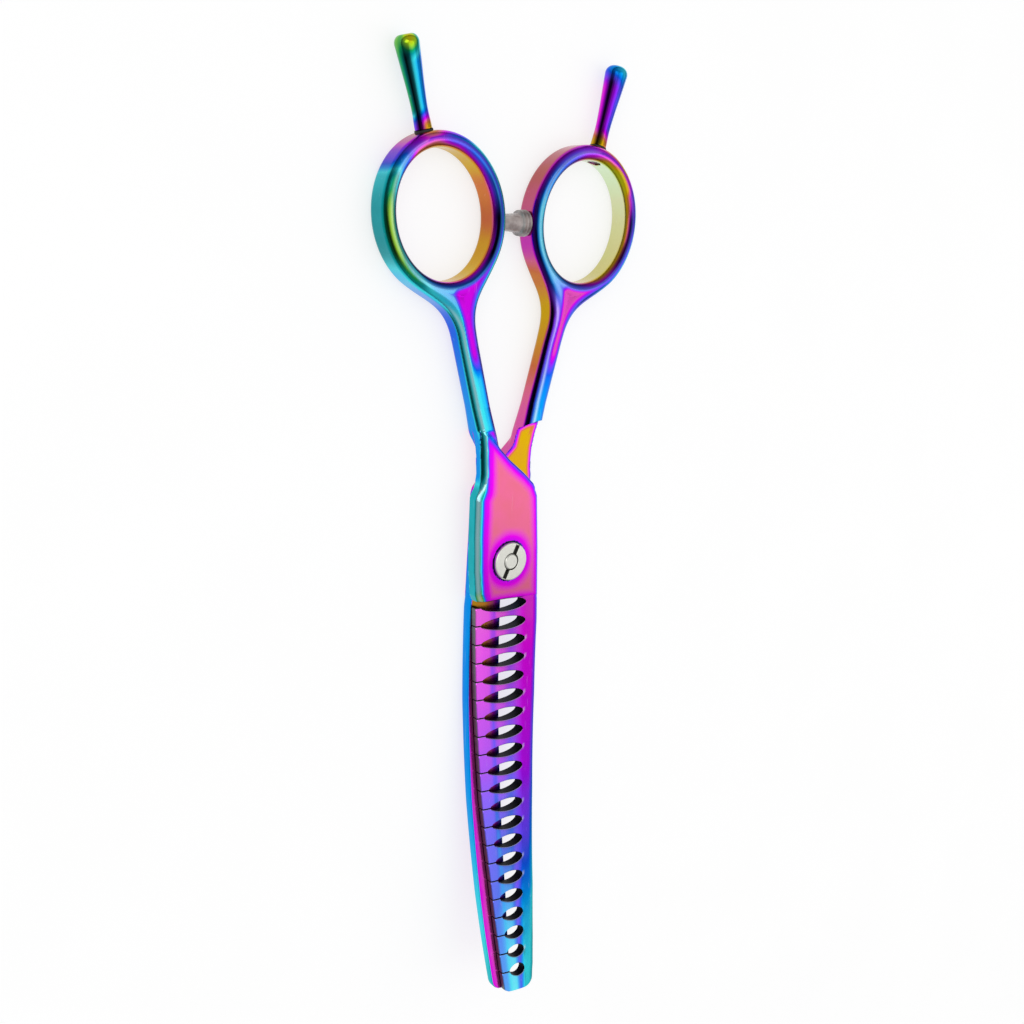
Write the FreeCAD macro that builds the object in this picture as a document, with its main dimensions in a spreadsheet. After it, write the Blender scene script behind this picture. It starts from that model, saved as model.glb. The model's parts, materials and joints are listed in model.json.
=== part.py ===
"""Curved thinning shears: two lapped halves on an adjustable pivot.

Frame: origin on the pivot axis at the plane where the halves meet, +X towards the
plain half's ring, +Y towards the finger rings, +Z towards the tension nut.  Lengths are
millimetres and angles degrees.

Each half is drawn in its own half frame, which is the frame above for the toothed half.
The plain half is drawn the same way and turned 180 degrees about Y.
"""

import FreeCAD, Part

import math
import os

import Sketcher

DIMENSIONS = (
    # rings and shanks, shared by both halves
    ("ring_centre_y", 68.1, "ring centre, measured along Y from the pivot"),
    ("neck_y", 26.5, "height where the neck becomes the shank"),
    ("neck_x", 5.64, "handle axis at that height, before the oval's extra reach"),
    ("ring_gap", 6.54, "gap between the closed rings, filled by the bumper"),
    ("finger_hole", 21.5, "finger hole, across the handle"),
    ("finger_hole_stretch", 2.75, "how much longer the hole is along the handle"),
    ("ring_wall", 3.0, "ring wall, measured in the plane"),
    ("ring_thickness", 5.9, "ring thickness, along the pivot"),
    ("ring_round", 1.3, "rounding of the ring's edges"),
    ("shank_width", 4.4, "shank, across the handle"),
    ("shank_thickness", 5.0, "shank, along the pivot"),
    ("shank_round", 1.5, "rounding of the shank's long edges"),
    ("web_radius", 8.0, "hollow curve between the shank and its ring"),
    # neck and ricasso, the flat part round the pivot
    ("lap_clearance", 0.1, "each half's inner face from the lap plane"),
    ("ricasso_thickness", 3.0, "thickness of the flat part round the pivot"),
    ("ricasso_reach", 8.5, "pivot axis to the inner edge of the ricasso"),
    ("ricasso_top_y", 13.5, "top of the ricasso's straight inner edge"),
    ("ricasso_low_y", 5.5, "bottom of the ricasso's straight inner edge"),
    ("ricasso_chamfer", 0.9, "bevel round the ricasso's outer face"),
    ("waist_x", 7.4, "inner edge of the waist above the ricasso"),
    ("waist_y", 19.5, "height of the waist"),
    ("shoulder_y", 13.0, "height of the shoulder on the spine side"),
    ("shoulder_cut", 1.6, "bevelled corner of that shoulder"),
    ("shoulder_step", 1.2, "how far the shoulder stands in from the spine"),
    ("diagonal_drop", 1.5, "neck to the start of the slant down to the shoulder"),
    ("scoop_radius", 11.9, "mill cut that thins the neck to its lapped half"),
    ("scoop_x", 9.2, "scoop centre, towards the handle"),
    ("scoop_y", 16.2, "scoop centre, above the pivot"),
    # blades
    ("blade_start", 9.5, "pivot to the first gullet, where the blades begin"),
    ("blade_length", 94.8, "pivot to the toothed blade's tip"),
    ("blade_corner", 2.3, "rounding of a blade's tip along its spine"),
    ("blade_tip_flat", 2.0, "how far the tip's end stands in from the spine"),
    ("blade_tip_slant", 0.9, "how far the end slants back to the edge"),
    ("blade_bend", 352.0, "radius of the blades' curve out of their plane"),
    ("toothed_spine_x", 8.65, "toothed blade's spine at its root"),
    ("toothed_spine_tip_x", 4.2, "toothed blade's spine at its tip"),
    ("toothed_crown", 1.25, "how far that spine bows beyond its chord"),
    ("toothed_edge_x", -7.0, "tooth tips at the root"),
    ("toothed_edge_tip_x", -3.3, "tooth tips at the blade's tip"),
    ("toothed_tip", 2.0, "toothed blade's thickness at its tip"),
    ("tooth_tip_thickness", 1.4, "thickness of each tooth's tip"),
    ("tooth_bevel", 8.0, "slope of the teeth's outer face"),
    ("tooth_count", 21, "gullets along the toothed blade"),
    ("last_gullet", 4.9, "blade's tip to the last gullet"),
    ("tooth_neck", 1.25, "narrowest part of a tooth"),
    ("slit_width", 0.3, "slit between two tooth tips"),
    ("gullet_depth", 1.1, "tooth tips to the start of the leaf, at the root"),
    ("land_root", 3.6, "solid band from gullet to spine, at the root"),
    ("land_tip", 2.4, "the same band at the last gullet"),
    ("plain_tip_gap", 0.5, "how much shorter the plain blade is"),
    ("plain_spine_x", 7.2, "plain blade's spine at its root"),
    ("plain_spine_tip_x", 5.6, "plain blade's spine at its tip"),
    ("plain_crown", 0.95, "how far that spine bows beyond its chord"),
    ("plain_edge_x", -0.5, "plain blade's cutting edge at the root"),
    ("plain_edge_tip_x", 0.7, "plain blade's cutting edge at the tip"),
    ("plain_tip", 2.0, "plain blade's thickness at its tip"),
    ("plain_edge_thickness", 0.3, "flat left along the cutting edge"),
    ("plain_bevel", 26.0, "slope of the plain blade's outer face"),
    # pivot
    ("bolt_radius", 2.0, "bolt's bearing shank"),
    ("bolt_end_radius", 1.6, "bolt's threaded end, which shows in the nut"),
    ("bolt_end_proud", 0.1, "how far the end stands above the nut"),
    ("bolt_head_radius", 3.6, "bolt's head"),
    ("bolt_head_thickness", 1.1, "bolt's head"),
    ("bolt_flat", 2.9, "bolt axis to the flat that keys the head"),
    ("running_clearance", 0.04, "radial play of turning fits"),
    ("bushing_wall", 0.9, "wall of the sleeve in the toothed half"),
    ("bearing_radius", 5.0, "washer between the blades"),
    ("bearing_recess", 0.5, "depth of that washer's seat"),
    ("nut_radius", 4.0, "slotted tension nut"),
    ("nut_thickness", 1.3, "slotted tension nut"),
    ("nut_slot_width", 0.9, "slot across the nut"),
    ("nut_slot_depth", 0.6, "slot across the nut"),
    ("nut_slot_angle", 63.7, "slot's direction from +X"),
    ("nut_recess", 1.3, "depth of the nut's seat in the ricasso"),
    ("nut_seat_play", 0.3, "gap round the nut in its seat"),
    ("bolt_ease", 0.2, "broken edges of the bolt"),
    ("nut_ease", 0.25, "broken edges of the nut"),
    ("seat_washer", 0.3, "thickness of the nylon washer"),
    ("spring_washer", 0.4, "thickness of the flattened spring washer"),
    ("spring_washer_inset", 0.3, "spring washer's rim inside the nut's"),
    # finger rests and bumper
    ("rest_length", 16.3, "finger rest beyond its washer"),
    ("rest_base_radius", 1.65, "finger rest at its washer"),
    ("rest_waist_radius", 1.5, "finger rest at its waist"),
    ("rest_waist_height", 3.2, "waist above the washer"),
    ("rest_tip_radius", 2.3, "finger rest near its rounded end"),
    ("rest_dome", 1.1, "rounding of the finger rest's end"),
    ("rest_washer", 0.5, "washer under the finger rest"),
    ("rest_washer_proud", 0.1, "washer's rim beyond the rest's base"),
    ("rest_flare", 2.6, "rest's top to the end of its flare"),
    ("rest_stud_inset", 0.15, "stud's end above the finger hole"),
    ("rest_seat_depth", 0.2, "spot face on the ring"),
    ("stud_radius", 1.2, "threaded stud of the rest"),
    ("bumper_flange_radius", 2.6, "bumper's ribbed flange"),
    ("bumper_flange", 1.6, "length of that flange"),
    ("bumper_groove", 0.35, "groove between its ribs"),
    ("bumper_root_radius", 2.1, "cone at the flange"),
    ("bumper_tip_radius", 1.6, "cone's end, which meets the other ring"),
    ("bumper_contact_gap", 0.05, "bumper's end to the other ring, closed"),
    ("bumper_stud_radius", 0.9, "stud that holds the bumper"),
    ("bumper_stud_grip", 1.6, "stud's length in the bumper"),
    ("bumper_stud_bite", 2.2, "stud's length in the ring"),
    ("bumper_stud_fit", 0.02, "play round the stud"),
    ("bumper_stud_end", 0.1, "play beyond the stud's ends"),
    ("bumper_rib", 0.15, "half the width of the groove between the ribs"),
    ("bumper_taper", 0.2, "how much the flange narrows along its length"),
    ("bumper_shoulder", 0.3, "length of the step from flange to cone"),
    ("bumper_ease", 0.55, "broken edge of the cone's end"),
)

OVERLAP = 2.0
"""How far one blank runs into the next before they are fused, in millimetres."""

CUTTER_SPAN = 60.0
"""A cutter longer than anything it goes through, in millimetres."""

KEY_BLOCK = 20.0
"""Side of the cube that cuts the flat on the bolt's head, in millimetres."""

# Sizes that follow from the sheet, written as sheet expressions.
HOLE_SHORT = "(dims.finger_hole / 2)"
HOLE_LONG = "((dims.finger_hole + dims.finger_hole_stretch) / 2)"
RING_SHORT = f"({HOLE_SHORT} + dims.ring_wall)"
RING_LONG = f"({HOLE_LONG} + dims.ring_wall)"
HANDLE_LEAN = (
    f"atan((dims.ring_gap / 2 + {RING_SHORT} - dims.neck_x) / (dims.ring_centre_y - dims.neck_y))"
)
LEAN_SIN = f"sin({HANDLE_LEAN})"
LEAN_COS = f"cos({HANDLE_LEAN})"
LEAN_TAN = f"tan({HANDLE_LEAN})"
RING_REACH = f"sqrt(({RING_LONG} * {LEAN_SIN})^2 + ({RING_SHORT} * {LEAN_COS})^2)"
RING_X = f"(dims.ring_gap / 2 + {RING_REACH})"
RING_LOWEST_SIDE = f"(({RING_LONG}^2 - {RING_SHORT}^2) * {LEAN_SIN} * {LEAN_COS} / {RING_REACH})"
BUMPER_Y = f"(dims.ring_centre_y - {RING_LOWEST_SIDE})"
SHANK_HALF = "(dims.shank_width / 2)"
OUTER_FACE = "(dims.lap_clearance + dims.ricasso_thickness)"
NUT_SEAT = f"({OUTER_FACE} - dims.nut_recess)"
SPRING_SEAT = f"({NUT_SEAT} + dims.seat_washer)"
NUT_SEAT_TOP = f"({SPRING_SEAT} + dims.spring_washer)"
NUT_TOP = f"({NUT_SEAT_TOP} + dims.nut_thickness)"
BOLT_BORE = "(dims.bolt_radius + dims.running_clearance)"
BUSHING_RADIUS = f"({BOLT_BORE} + dims.bushing_wall)"
REST_SEAT = f"({RING_LONG} - dims.rest_seat_depth)"


def shank_axis_x(height):
    """Expression for the handle axis's distance from the YZ plane at a height."""
    return f"({RING_X} - (dims.ring_centre_y - {height}) * {LEAN_TAN})"


def bend_rise(length):
    """Expression for how far a blade of this length bends out of its plane."""
    return f"(dims.blade_bend - sqrt(dims.blade_bend^2 - {length}^2))"


def make_sheet(doc):
    """The driving dimensions, one row each: name, value, meaning."""
    sheet = doc.addObject("Spreadsheet::Sheet", "dims")
    for row, (alias, number, meaning) in enumerate(DIMENSIONS, start=1):
        sheet.set(f"A{row}", alias)
        sheet.set(f"B{row}", str(number))
        sheet.set(f"C{row}", meaning)
        sheet.setAlias(f"B{row}", alias)
    doc.recompute()
    return sheet


class Shop:
    """Makes objects of one document whose sizes are bound to its sheet."""

    def __init__(self, doc, sheet):
        self.doc = doc
        self.sheet = sheet

    def size(self, expression):
        """The present value of a sheet expression, as a plain number."""
        result = self.sheet.evalExpression(str(expression))
        return float(getattr(result, "Value", result))

    def bind(self, item, **expressions):
        """Tie properties to expressions; two underscores stand for a dot."""
        for name, expression in expressions.items():
            item.setExpression(name.replace("__", "."), str(expression))
        return item

    def place(self, item, x="0", y="0", z="0", axis=(0, 0, 1), angle="0"):
        """Place an item at expressions x, y, z, turned by angle about axis."""
        turn = FreeCAD.Rotation(FreeCAD.Vector(*axis), self.size(angle))
        item.Placement = FreeCAD.Placement(FreeCAD.Vector(0, 0, 0), turn)
        self.bind(item, Placement__Base__x=x, Placement__Base__y=y, Placement__Base__z=z)
        if angle != "0":
            self.bind(item, Placement__Rotation__Angle=angle)
        return item

    def outline(self, sketch, corners):
        """Close an outline through corners given as pairs of expressions.

        A corner with four expressions starts an arc that passes through the second
        pair on its way to the next corner.
        """
        points = [FreeCAD.Vector(self.size(c[0]), self.size(c[1]), 0) for c in corners]
        count = len(corners)
        for index, corner in enumerate(corners):
            start = points[index]
            end = points[(index + 1) % count]
            if len(corner) == 4:
                middle = FreeCAD.Vector(self.size(corner[2]), self.size(corner[3]), 0)
                sketch.addGeometry(Part.Arc(start, middle, end), False)
            else:
                sketch.addGeometry(Part.LineSegment(start, end), False)
        for index, corner in enumerate(corners):
            self.pin_corner(sketch, index, corner, points)
        for index, corner in enumerate(corners):
            if len(corner) == 4:
                self.pin_arc(sketch, index, corner)
        return sketch

    def edge_start(self, sketch, index, point):
        """Which end of a sketch edge lies at a point: 1 for its start, 2 for its end."""
        return 1 if sketch.getPoint(index, 1).distanceToPoint(point) < 1e-6 else 2

    def pin_corner(self, sketch, index, corner, points):
        """Join an edge to the one before it and fix their shared corner."""
        before = (index - 1) % len(points)
        here = points[index]
        start = self.edge_start(sketch, index, here)
        end = self.edge_start(sketch, before, here)
        sketch.addConstraint(Sketcher.Constraint("Coincident", before, end, index, start))
        for kind, expression in zip(("DistanceX", "DistanceY"), corner[:2]):
            distance = Sketcher.Constraint(kind, -1, 1, index, start, self.size(expression))
            number = sketch.addConstraint(distance)
            sketch.setExpression(f"Constraints[{number}]", str(expression))

    def pin_arc(self, sketch, index, corner):
        """Hold an arc on a fixed construction point."""
        middle = FreeCAD.Vector(self.size(corner[2]), self.size(corner[3]), 0)
        marker = sketch.addGeometry(Part.Point(middle), True)
        for kind, expression in zip(("DistanceX", "DistanceY"), corner[2:]):
            distance = Sketcher.Constraint(kind, -1, 1, marker, 1, self.size(expression))
            number = sketch.addConstraint(distance)
            sketch.setExpression(f"Constraints[{number}]", str(expression))
        sketch.addConstraint(Sketcher.Constraint("PointOnObject", marker, 1, index))

    def sketch(self, name, corners):
        """A free sketch in the XY plane."""
        return self.outline(self.doc.addObject("Sketcher::SketchObject", name), corners)

    def extrude(self, name, base, low, high, direction=(0, 0, 1)):
        """Extrude a closed profile from low to high along a direction."""
        solid = self.doc.addObject("Part::Extrusion", name)
        solid.Base = base
        solid.DirMode = "Custom"
        solid.Dir = FreeCAD.Vector(*direction)
        solid.Solid = True
        return self.bind(solid, LengthFwd=high, LengthRev=f"-({low})")

    def cylinder(self, name, radius, low, high, x="0", y="0"):
        """A cylinder along Z between two heights."""
        solid = self.doc.addObject("Part::Cylinder", name)
        self.bind(solid, Radius=radius, Height=f"{high} - ({low})")
        return self.place(solid, x, y, low)

    def fuse(self, name, solids):
        """The union of several solids."""
        union = self.doc.addObject("Part::MultiFuse", name)
        union.Shapes = solids
        return union

    def cut(self, name, base, tools):
        """A solid less its tools."""
        result = self.doc.addObject("Part::Cut", name)
        result.Base = base
        result.Tool = tools[0] if len(tools) == 1 else self.fuse(f"{name}_tools", tools)
        return result

    def common(self, name, base, tool):
        """What two solids share."""
        result = self.doc.addObject("Part::Common", name)
        result.Base = base
        result.Tool = tool
        return result

    def ease(self, kind, name, base, radius, wanted):
        """Fillet or chamfer the edges of a solid for which wanted(edge) is true."""
        self.doc.recompute()
        chosen = [n for n, edge in enumerate(base.Shape.Edges, start=1) if wanted(edge)]
        eased = self.doc.addObject(f"Part::{kind}", name)
        eased.Base = base
        eased.Edges = [(n, radius, radius) for n in chosen]
        return eased

    def turned(self, name, corners):
        """A body turned about Z from an outline of radius and height."""
        body = self.doc.addObject("PartDesign::Body", name)
        sketch = body.newObject("Sketcher::SketchObject", f"{name}_profile")
        plane = next(f for f in body.Origin.OriginFeatures if f.Role == "XZ_Plane")
        sketch.AttachmentSupport = [(plane, "")]
        sketch.MapMode = "FlatFace"
        self.outline(sketch, corners)
        turning = body.newObject("PartDesign::Revolution", f"{name}_turning")
        turning.Profile = sketch
        turning.ReferenceAxis = (sketch, ["V_Axis"])
        turning.Angle = 360.0
        body.Tip = turning
        return body

    def ring_washer(self, name, inner, outer, low, high):
        """A flat washer between two heights."""
        corners = ((inner, low), (outer, low), (outer, high), (inner, high))
        return self.turned(name, corners)


def smallest(shop, *expressions):
    """The smallest of several expressions, for an edge that its wall limits."""
    return min(shop.size(expression) for expression in expressions)


def make_ring(shop, side):
    """The oval ring, with its long axis along the handle and its edges rounded."""
    blanks = []
    for name, long_half, short_half in (("outer", RING_LONG, RING_SHORT), ("hole", HOLE_LONG, HOLE_SHORT)):
        oval = shop.doc.addObject("Part::Ellipse", f"{side}_ring_{name}_oval")
        shop.bind(oval, MajorRadius=long_half, MinorRadius=short_half)
        shop.place(oval, angle="90")
        height = "dims.ring_thickness / 2"
        blanks.append(shop.extrude(f"{side}_ring_{name}", oval, f"-{height}", height))
    ring = shop.cut(f"{side}_ring_blank", blanks[0], blanks[1:])
    radius = smallest(shop, "dims.ring_round", "0.45 * dims.ring_wall", "0.4 * dims.ring_thickness")
    return shop.ease("Fillet", f"{side}_ring", ring, radius, is_level_edge)


def is_level_edge(edge):
    """Whether an edge lies in one level plane."""
    return edge.BoundBox.ZLength < 1e-4


def make_shank(shop, side):
    """The straight shank and the web that flares into its ring, in the handle frame."""
    reach = f"({RING_LONG} + dims.web_radius)"
    flare_x = f"({SHANK_HALF} + dims.web_radius)"
    flare_y = f"sqrt({reach}^2 - {flare_x}^2)"
    share = f"({RING_LONG} / {reach})"
    top_x = f"({flare_x} * {share})"
    top_y = f"(-{flare_y} * {share})"
    turn = f"(atan({flare_y} / {flare_x}) / 2)"
    middle_x = f"({flare_x} - dims.web_radius * cos({turn}))"
    middle_y = f"(-{flare_y} + dims.web_radius * sin({turn}))"
    foot = f"(-(dims.ring_centre_y - dims.neck_y) / {LEAN_COS} - dims.scoop_radius / 2)"
    corners = (
        (f"-{SHANK_HALF}", foot),
        (SHANK_HALF, foot),
        (SHANK_HALF, f"-{flare_y}", middle_x, middle_y),
        (top_x, top_y),
        (f"-{top_x}", top_y, f"-{middle_x}", middle_y),
        (f"-{SHANK_HALF}", f"-{flare_y}"),
    )
    height = "dims.shank_thickness / 2"
    plan = shop.sketch(f"{side}_shank_plan", corners)
    bar = shop.extrude(f"{side}_shank_bar", plan, f"-{height}", height)
    radius = smallest(shop, "dims.shank_round", "0.45 * dims.shank_width", "0.45 * dims.shank_thickness")
    ends = (shop.size(foot), shop.size(top_y))

    def is_long_edge(edge):
        """Whether an edge runs along the shank, not across one of its ends."""
        box = edge.BoundBox
        level = box.ZLength < 1e-4
        across = box.YLength < 1e-4 and min(abs(box.YMin - end) for end in ends) < 1e-4
        return level and not across

    return shop.ease("Fillet", f"{side}_shank", bar, radius, is_long_edge)


def make_handle(shop, side):
    """Ring and shank together, carried from the handle frame to the half frame."""
    handle = shop.fuse(f"{side}_handle_blank", [make_ring(shop, side), make_shank(shop, side)])
    return shop.place(handle, f"-{RING_X}", "dims.ring_centre_y", angle=HANDLE_LEAN)


def make_rest_hole(shop, side):
    """The stud hole and spot face for a finger rest, at the ring's far end."""
    hole = shop.cylinder(f"{side}_rest_hole", "dims.stud_radius + dims.running_clearance", "0", "40")
    face = shop.cylinder(f"{side}_rest_spot_face", "dims.rest_base_radius + 0.3", REST_SEAT, "40")
    tool = shop.fuse(f"{side}_rest_cutter", [hole, face])
    return place_along_handle(shop, tool)


def place_along_handle(shop, item, hand="-1"):
    """Stand an item made along Z on the handle axis, measured from the ring's centre."""
    lean = math.radians(shop.size(HANDLE_LEAN))
    toward = FreeCAD.Vector(shop.size(hand) * math.sin(lean), math.cos(lean), 0)
    item.Placement = FreeCAD.Placement(
        FreeCAD.Vector(0, 0, 0), FreeCAD.Rotation(FreeCAD.Vector(0, 0, 1), toward)
    )
    return shop.bind(item, Placement__Base__x=f"{hand} * {RING_X}", Placement__Base__y="dims.ring_centre_y")


def make_ricasso(shop, side, spine_x):
    """The flat lapped part round the pivot, from the neck down to the blade's root."""
    neck_half = f"({SHANK_HALF} / {LEAN_COS})"
    edge_x = "dims.toothed_edge_x"
    diagonal_y = "(dims.neck_y - dims.diagonal_drop)"
    shoulder_x = f"({spine_x} - dims.shoulder_step)"
    corners = (
        (f"-({shank_axis_x('dims.neck_y')} + {neck_half})", "dims.neck_y"),
        ("-dims.waist_x", "dims.waist_y"),
        ("-dims.ricasso_reach", "dims.ricasso_top_y"),
        ("-dims.ricasso_reach", "dims.ricasso_low_y"),
        (edge_x, "-dims.blade_start"),
        (spine_x, "-dims.blade_start"),
        (shoulder_x, "dims.shoulder_y"),
        (f"({shoulder_x} - dims.shoulder_cut / 2)", "dims.shoulder_y + dims.shoulder_cut"),
        (f"-({shank_axis_x(diagonal_y)} - {neck_half})", diagonal_y),
    )
    plan = shop.sketch(f"{side}_ricasso_plan", corners)
    plate = shop.extrude(f"{side}_ricasso_plate", plan, "dims.lap_clearance", OUTER_FACE)
    outer = shop.size(OUTER_FACE)
    root = shop.size("-dims.blade_start")

    def is_outer_rim(edge):
        """Whether an edge bounds the outer face, away from the blade's root."""
        box = edge.BoundBox
        return abs(box.ZMin - outer) < 1e-4 and box.YMax > root + 1.0

    return shop.ease("Chamfer", f"{side}_ricasso", plate, shop.size("dims.ricasso_chamfer"), is_outer_rim)


def make_blade(shop, side, names, bend):
    """A blade blank: its plan, cut from a slab that curves out of the plane.

    names gives the sheet's names for this blade's sizes; bend is 1 where the blade
    curves towards its outer face and -1 where it curves towards its inner face.
    """
    length = f"({names['length']} - dims.blade_start)"
    root_y = "-dims.blade_start"
    spine, spine_tip = names["spine"], names["spine_tip"]
    edge, edge_tip = names["edge"], names["edge_tip"]
    plan = (
        (edge, f"{root_y} + {OVERLAP}"),
        (edge, root_y),
        (edge_tip, f"-{names['length']} + dims.blade_tip_slant"),
        (f"({spine_tip} - dims.blade_tip_flat)", f"-{names['length']}"),
        (spine_tip, f"-{names['length']} + dims.blade_corner",
         f"(({spine} + {spine_tip}) / 2 + {names['crown']})", f"{root_y} - {length} / 2"),
        (spine, root_y),
        (spine, f"{root_y} + {OVERLAP}"),
    )
    blank = shop.extrude(f"{side}_blade_plan_solid", shop.sketch(f"{side}_blade_plan", plan),
                         f"-{CUTTER_SPAN}", f"{CUTTER_SPAN}")
    rise = f"({bend} * {bend_rise(length)})"
    inner, outer = "dims.lap_clearance", OUTER_FACE
    drop = f"({rise} + {names['tip']} - dims.ricasso_thickness)"
    profile = (
        (f"-{OVERLAP}", inner),
        ("0", inner, f"{length} / 2", f"{inner} + {rise} / 4"),
        (length, f"{inner} + {rise}"),
        (length, f"{inner} + {rise} + {names['tip']}", f"{length} / 2", f"{outer} + {drop} / 4"),
        ("0", outer),
        (f"-{OVERLAP}", outer),
    )
    slab_plan = place_side_view(shop, shop.sketch(f"{side}_blade_profile", profile))
    slab = shop.extrude(f"{side}_blade_slab", slab_plan, f"-{CUTTER_SPAN}", f"{CUTTER_SPAN}",
                        direction=(1, 0, 0))
    return shop.common(f"{side}_blade_blank", blank, slab)


def place_side_view(shop, sketch, x="0", convergence=0.0):
    """Stand a side-view sketch at the blade's root, running towards the tip.

    The sketch's x axis becomes the direction from root to tip and its y axis becomes
    +Z.  convergence turns that direction towards +X, in degrees.
    """
    stand = FreeCAD.Rotation(
        FreeCAD.Vector(0, -1, 0), FreeCAD.Vector(0, 0, 1), FreeCAD.Vector(0, 0, 0), "XYZ"
    )
    swing = FreeCAD.Rotation(FreeCAD.Vector(0, 0, 1), convergence)
    sketch.Placement = FreeCAD.Placement(FreeCAD.Vector(0, 0, 0), swing.multiply(stand))
    return shop.bind(sketch, Placement__Base__x=x, Placement__Base__y="-dims.blade_start")


def make_bevel(shop, side, names, bend):
    """The cutter that slopes a blade's outer face down to its edge."""
    length = f"({names['length']} - dims.blade_start)"
    rise = f"({bend} * {bend_rise(length)})"
    floor = f"(dims.lap_clearance + {names['edge_thickness']})"
    profile = (
        ("0", floor, f"{length} / 2", f"{floor} + {rise} / 4"),
        (length, f"{floor} + {rise}"),
        (f"{length} + {OVERLAP}", f"{floor} + {rise}"),
        (f"{length} + {OVERLAP}", f"{CUTTER_SPAN}"),
        ("0", f"{CUTTER_SPAN}"),
    )
    run = shop.size(length)
    taper = math.degrees(math.atan2(shop.size(f"{names['edge_tip']} - ({names['edge']})"), run))
    view = place_side_view(shop, shop.sketch(f"{side}_bevel_profile", profile), names["edge"], taper)
    slope = math.radians(shop.size(names["bevel"]))
    direction = (math.cos(slope), 0, math.sin(slope))
    return shop.extrude(f"{side}_bevel", view, f"-{CUTTER_SPAN}", f"{CUTTER_SPAN}",
                        direction=direction)


def spine_line(shop, distance):
    """The toothed spine's X at a distance from the pivot, along its bowed arc."""
    root, tip = shop.size("dims.toothed_spine_x"), shop.size("dims.toothed_spine_tip_x")
    start, end = shop.size("dims.blade_start"), shop.size("dims.blade_length")
    share = (distance - start) / (end - start)
    bow = 4 * shop.size("dims.toothed_crown") * share * (1 - share)
    return root + (tip - root) * share + bow


def gullet_wire(shop, share, distance):
    """One leaf-shaped gullet with its slit, as a closed wire in the XY plane.

    share runs from 0 at the first gullet to 1 at the last.
    """
    edge_root, edge_tip = shop.size("dims.toothed_edge_x"), shop.size("dims.toothed_edge_tip_x")
    land_root, land_tip = shop.size("dims.land_root"), shop.size("dims.land_tip")
    slit_half = shop.size("dims.slit_width / 2")
    pitch = gullet_pitch(shop)
    leaf_half = (pitch - shop.size("dims.tooth_neck")) / 2
    edge = edge_root + (edge_tip - edge_root) * share
    far = spine_line(shop, distance) - (land_root + (land_tip - land_root) * share)
    near = edge + shop.size("dims.gullet_depth") * (1 + 0.4 * share)
    middle = (near + far) / 2
    round_x = far - leaf_half * 0.7
    round_half = leaf_half * 0.8

    def at(x, offset):
        """A corner of the leaf at x, offset along the blade from its centre line."""
        return FreeCAD.Vector(x, -distance + offset, 0)

    opening = edge - OVERLAP
    edges = (
        Part.LineSegment(at(opening, -slit_half), at(near, -slit_half)),
        Part.Arc(at(near, -slit_half), at(middle, -leaf_half), at(round_x, -round_half)),
        Part.Arc(at(round_x, -round_half), at(far, 0), at(round_x, round_half)),
        Part.Arc(at(round_x, round_half), at(middle, leaf_half), at(near, slit_half)),
        Part.LineSegment(at(near, slit_half), at(opening, slit_half)),
        Part.LineSegment(at(opening, slit_half), at(opening, -slit_half)),
    )
    return Part.Wire([edge_curve.toShape() for edge_curve in edges])


def gullet_pitch(shop):
    """The distance from one gullet to the next."""
    run = shop.size("dims.blade_length - dims.last_gullet - dims.blade_start")
    return run / (shop.size("dims.tooth_count") - 1)


def make_gullets(shop):
    """All the gullet cutters, as one compound of prisms."""
    count = int(shop.size("dims.tooth_count"))
    pitch = gullet_pitch(shop)
    prisms = []
    for number in range(count):
        distance = shop.size("dims.blade_start") + pitch * number
        face = Part.Face(gullet_wire(shop, number / (count - 1), distance))
        face.translate(FreeCAD.Vector(0, 0, -CUTTER_SPAN))
        prisms.append(face.extrude(FreeCAD.Vector(0, 0, 2 * CUTTER_SPAN)))
    cutters = shop.doc.addObject("Part::Feature", "gullet_cutters")
    cutters.Shape = Part.makeCompound(prisms)
    return cutters


def make_half(shop, side, names, bend, extra_cuts):
    """One forged half: handle, neck, ricasso and blade, lapped and drilled."""
    handle = make_handle(shop, side)
    scoop = shop.cylinder(f"{side}_scoop", "dims.scoop_radius", f"-{CUTTER_SPAN}", "dims.lap_clearance",
                          "-dims.scoop_x", "dims.scoop_y")
    lapped = shop.cut(f"{side}_lapped_handle", handle, [scoop])
    ricasso = make_ricasso(shop, side, names["spine"])
    blank = make_blade(shop, side, names, bend)
    blade = shop.cut(f"{side}_blade", blank, [make_bevel(shop, side, names, bend)])
    forging = shop.fuse(f"{side}_forging", [lapped, ricasso, blade])
    return shop.cut(f"{side}_half", forging, [make_rest_hole(shop, side)] + extra_cuts)


TOOTHED = {
    "length": "dims.blade_length",
    "spine": "dims.toothed_spine_x",
    "spine_tip": "dims.toothed_spine_tip_x",
    "crown": "dims.toothed_crown",
    "edge": "dims.toothed_edge_x",
    "edge_tip": "dims.toothed_edge_tip_x",
    "tip": "dims.toothed_tip",
    "edge_thickness": "dims.tooth_tip_thickness",
    "bevel": "dims.tooth_bevel",
}

PLAIN = {
    "length": "(dims.blade_length - dims.plain_tip_gap)",
    "spine": "dims.plain_spine_x",
    "spine_tip": "dims.plain_spine_tip_x",
    "crown": "dims.plain_crown",
    "edge": "dims.plain_edge_x",
    "edge_tip": "dims.plain_edge_tip_x",
    "tip": "dims.plain_tip",
    "edge_thickness": "dims.plain_edge_thickness",
    "bevel": "dims.plain_bevel",
}


def make_toothed_half(shop):
    """The front half: gullets, the sleeve's bore and the nut's seat."""
    bore = shop.cylinder("toothed_bore", BUSHING_RADIUS, f"-{OVERLAP}", NUT_SEAT)
    seat = shop.cylinder("toothed_nut_seat", "dims.nut_radius + dims.nut_seat_play",
                         NUT_SEAT, f"{CUTTER_SPAN}")
    half = make_half(shop, "toothed", TOOTHED, 1, [bore, seat])
    return shop.cut("toothed_half_cut", half, [make_gullets(shop)])


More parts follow.
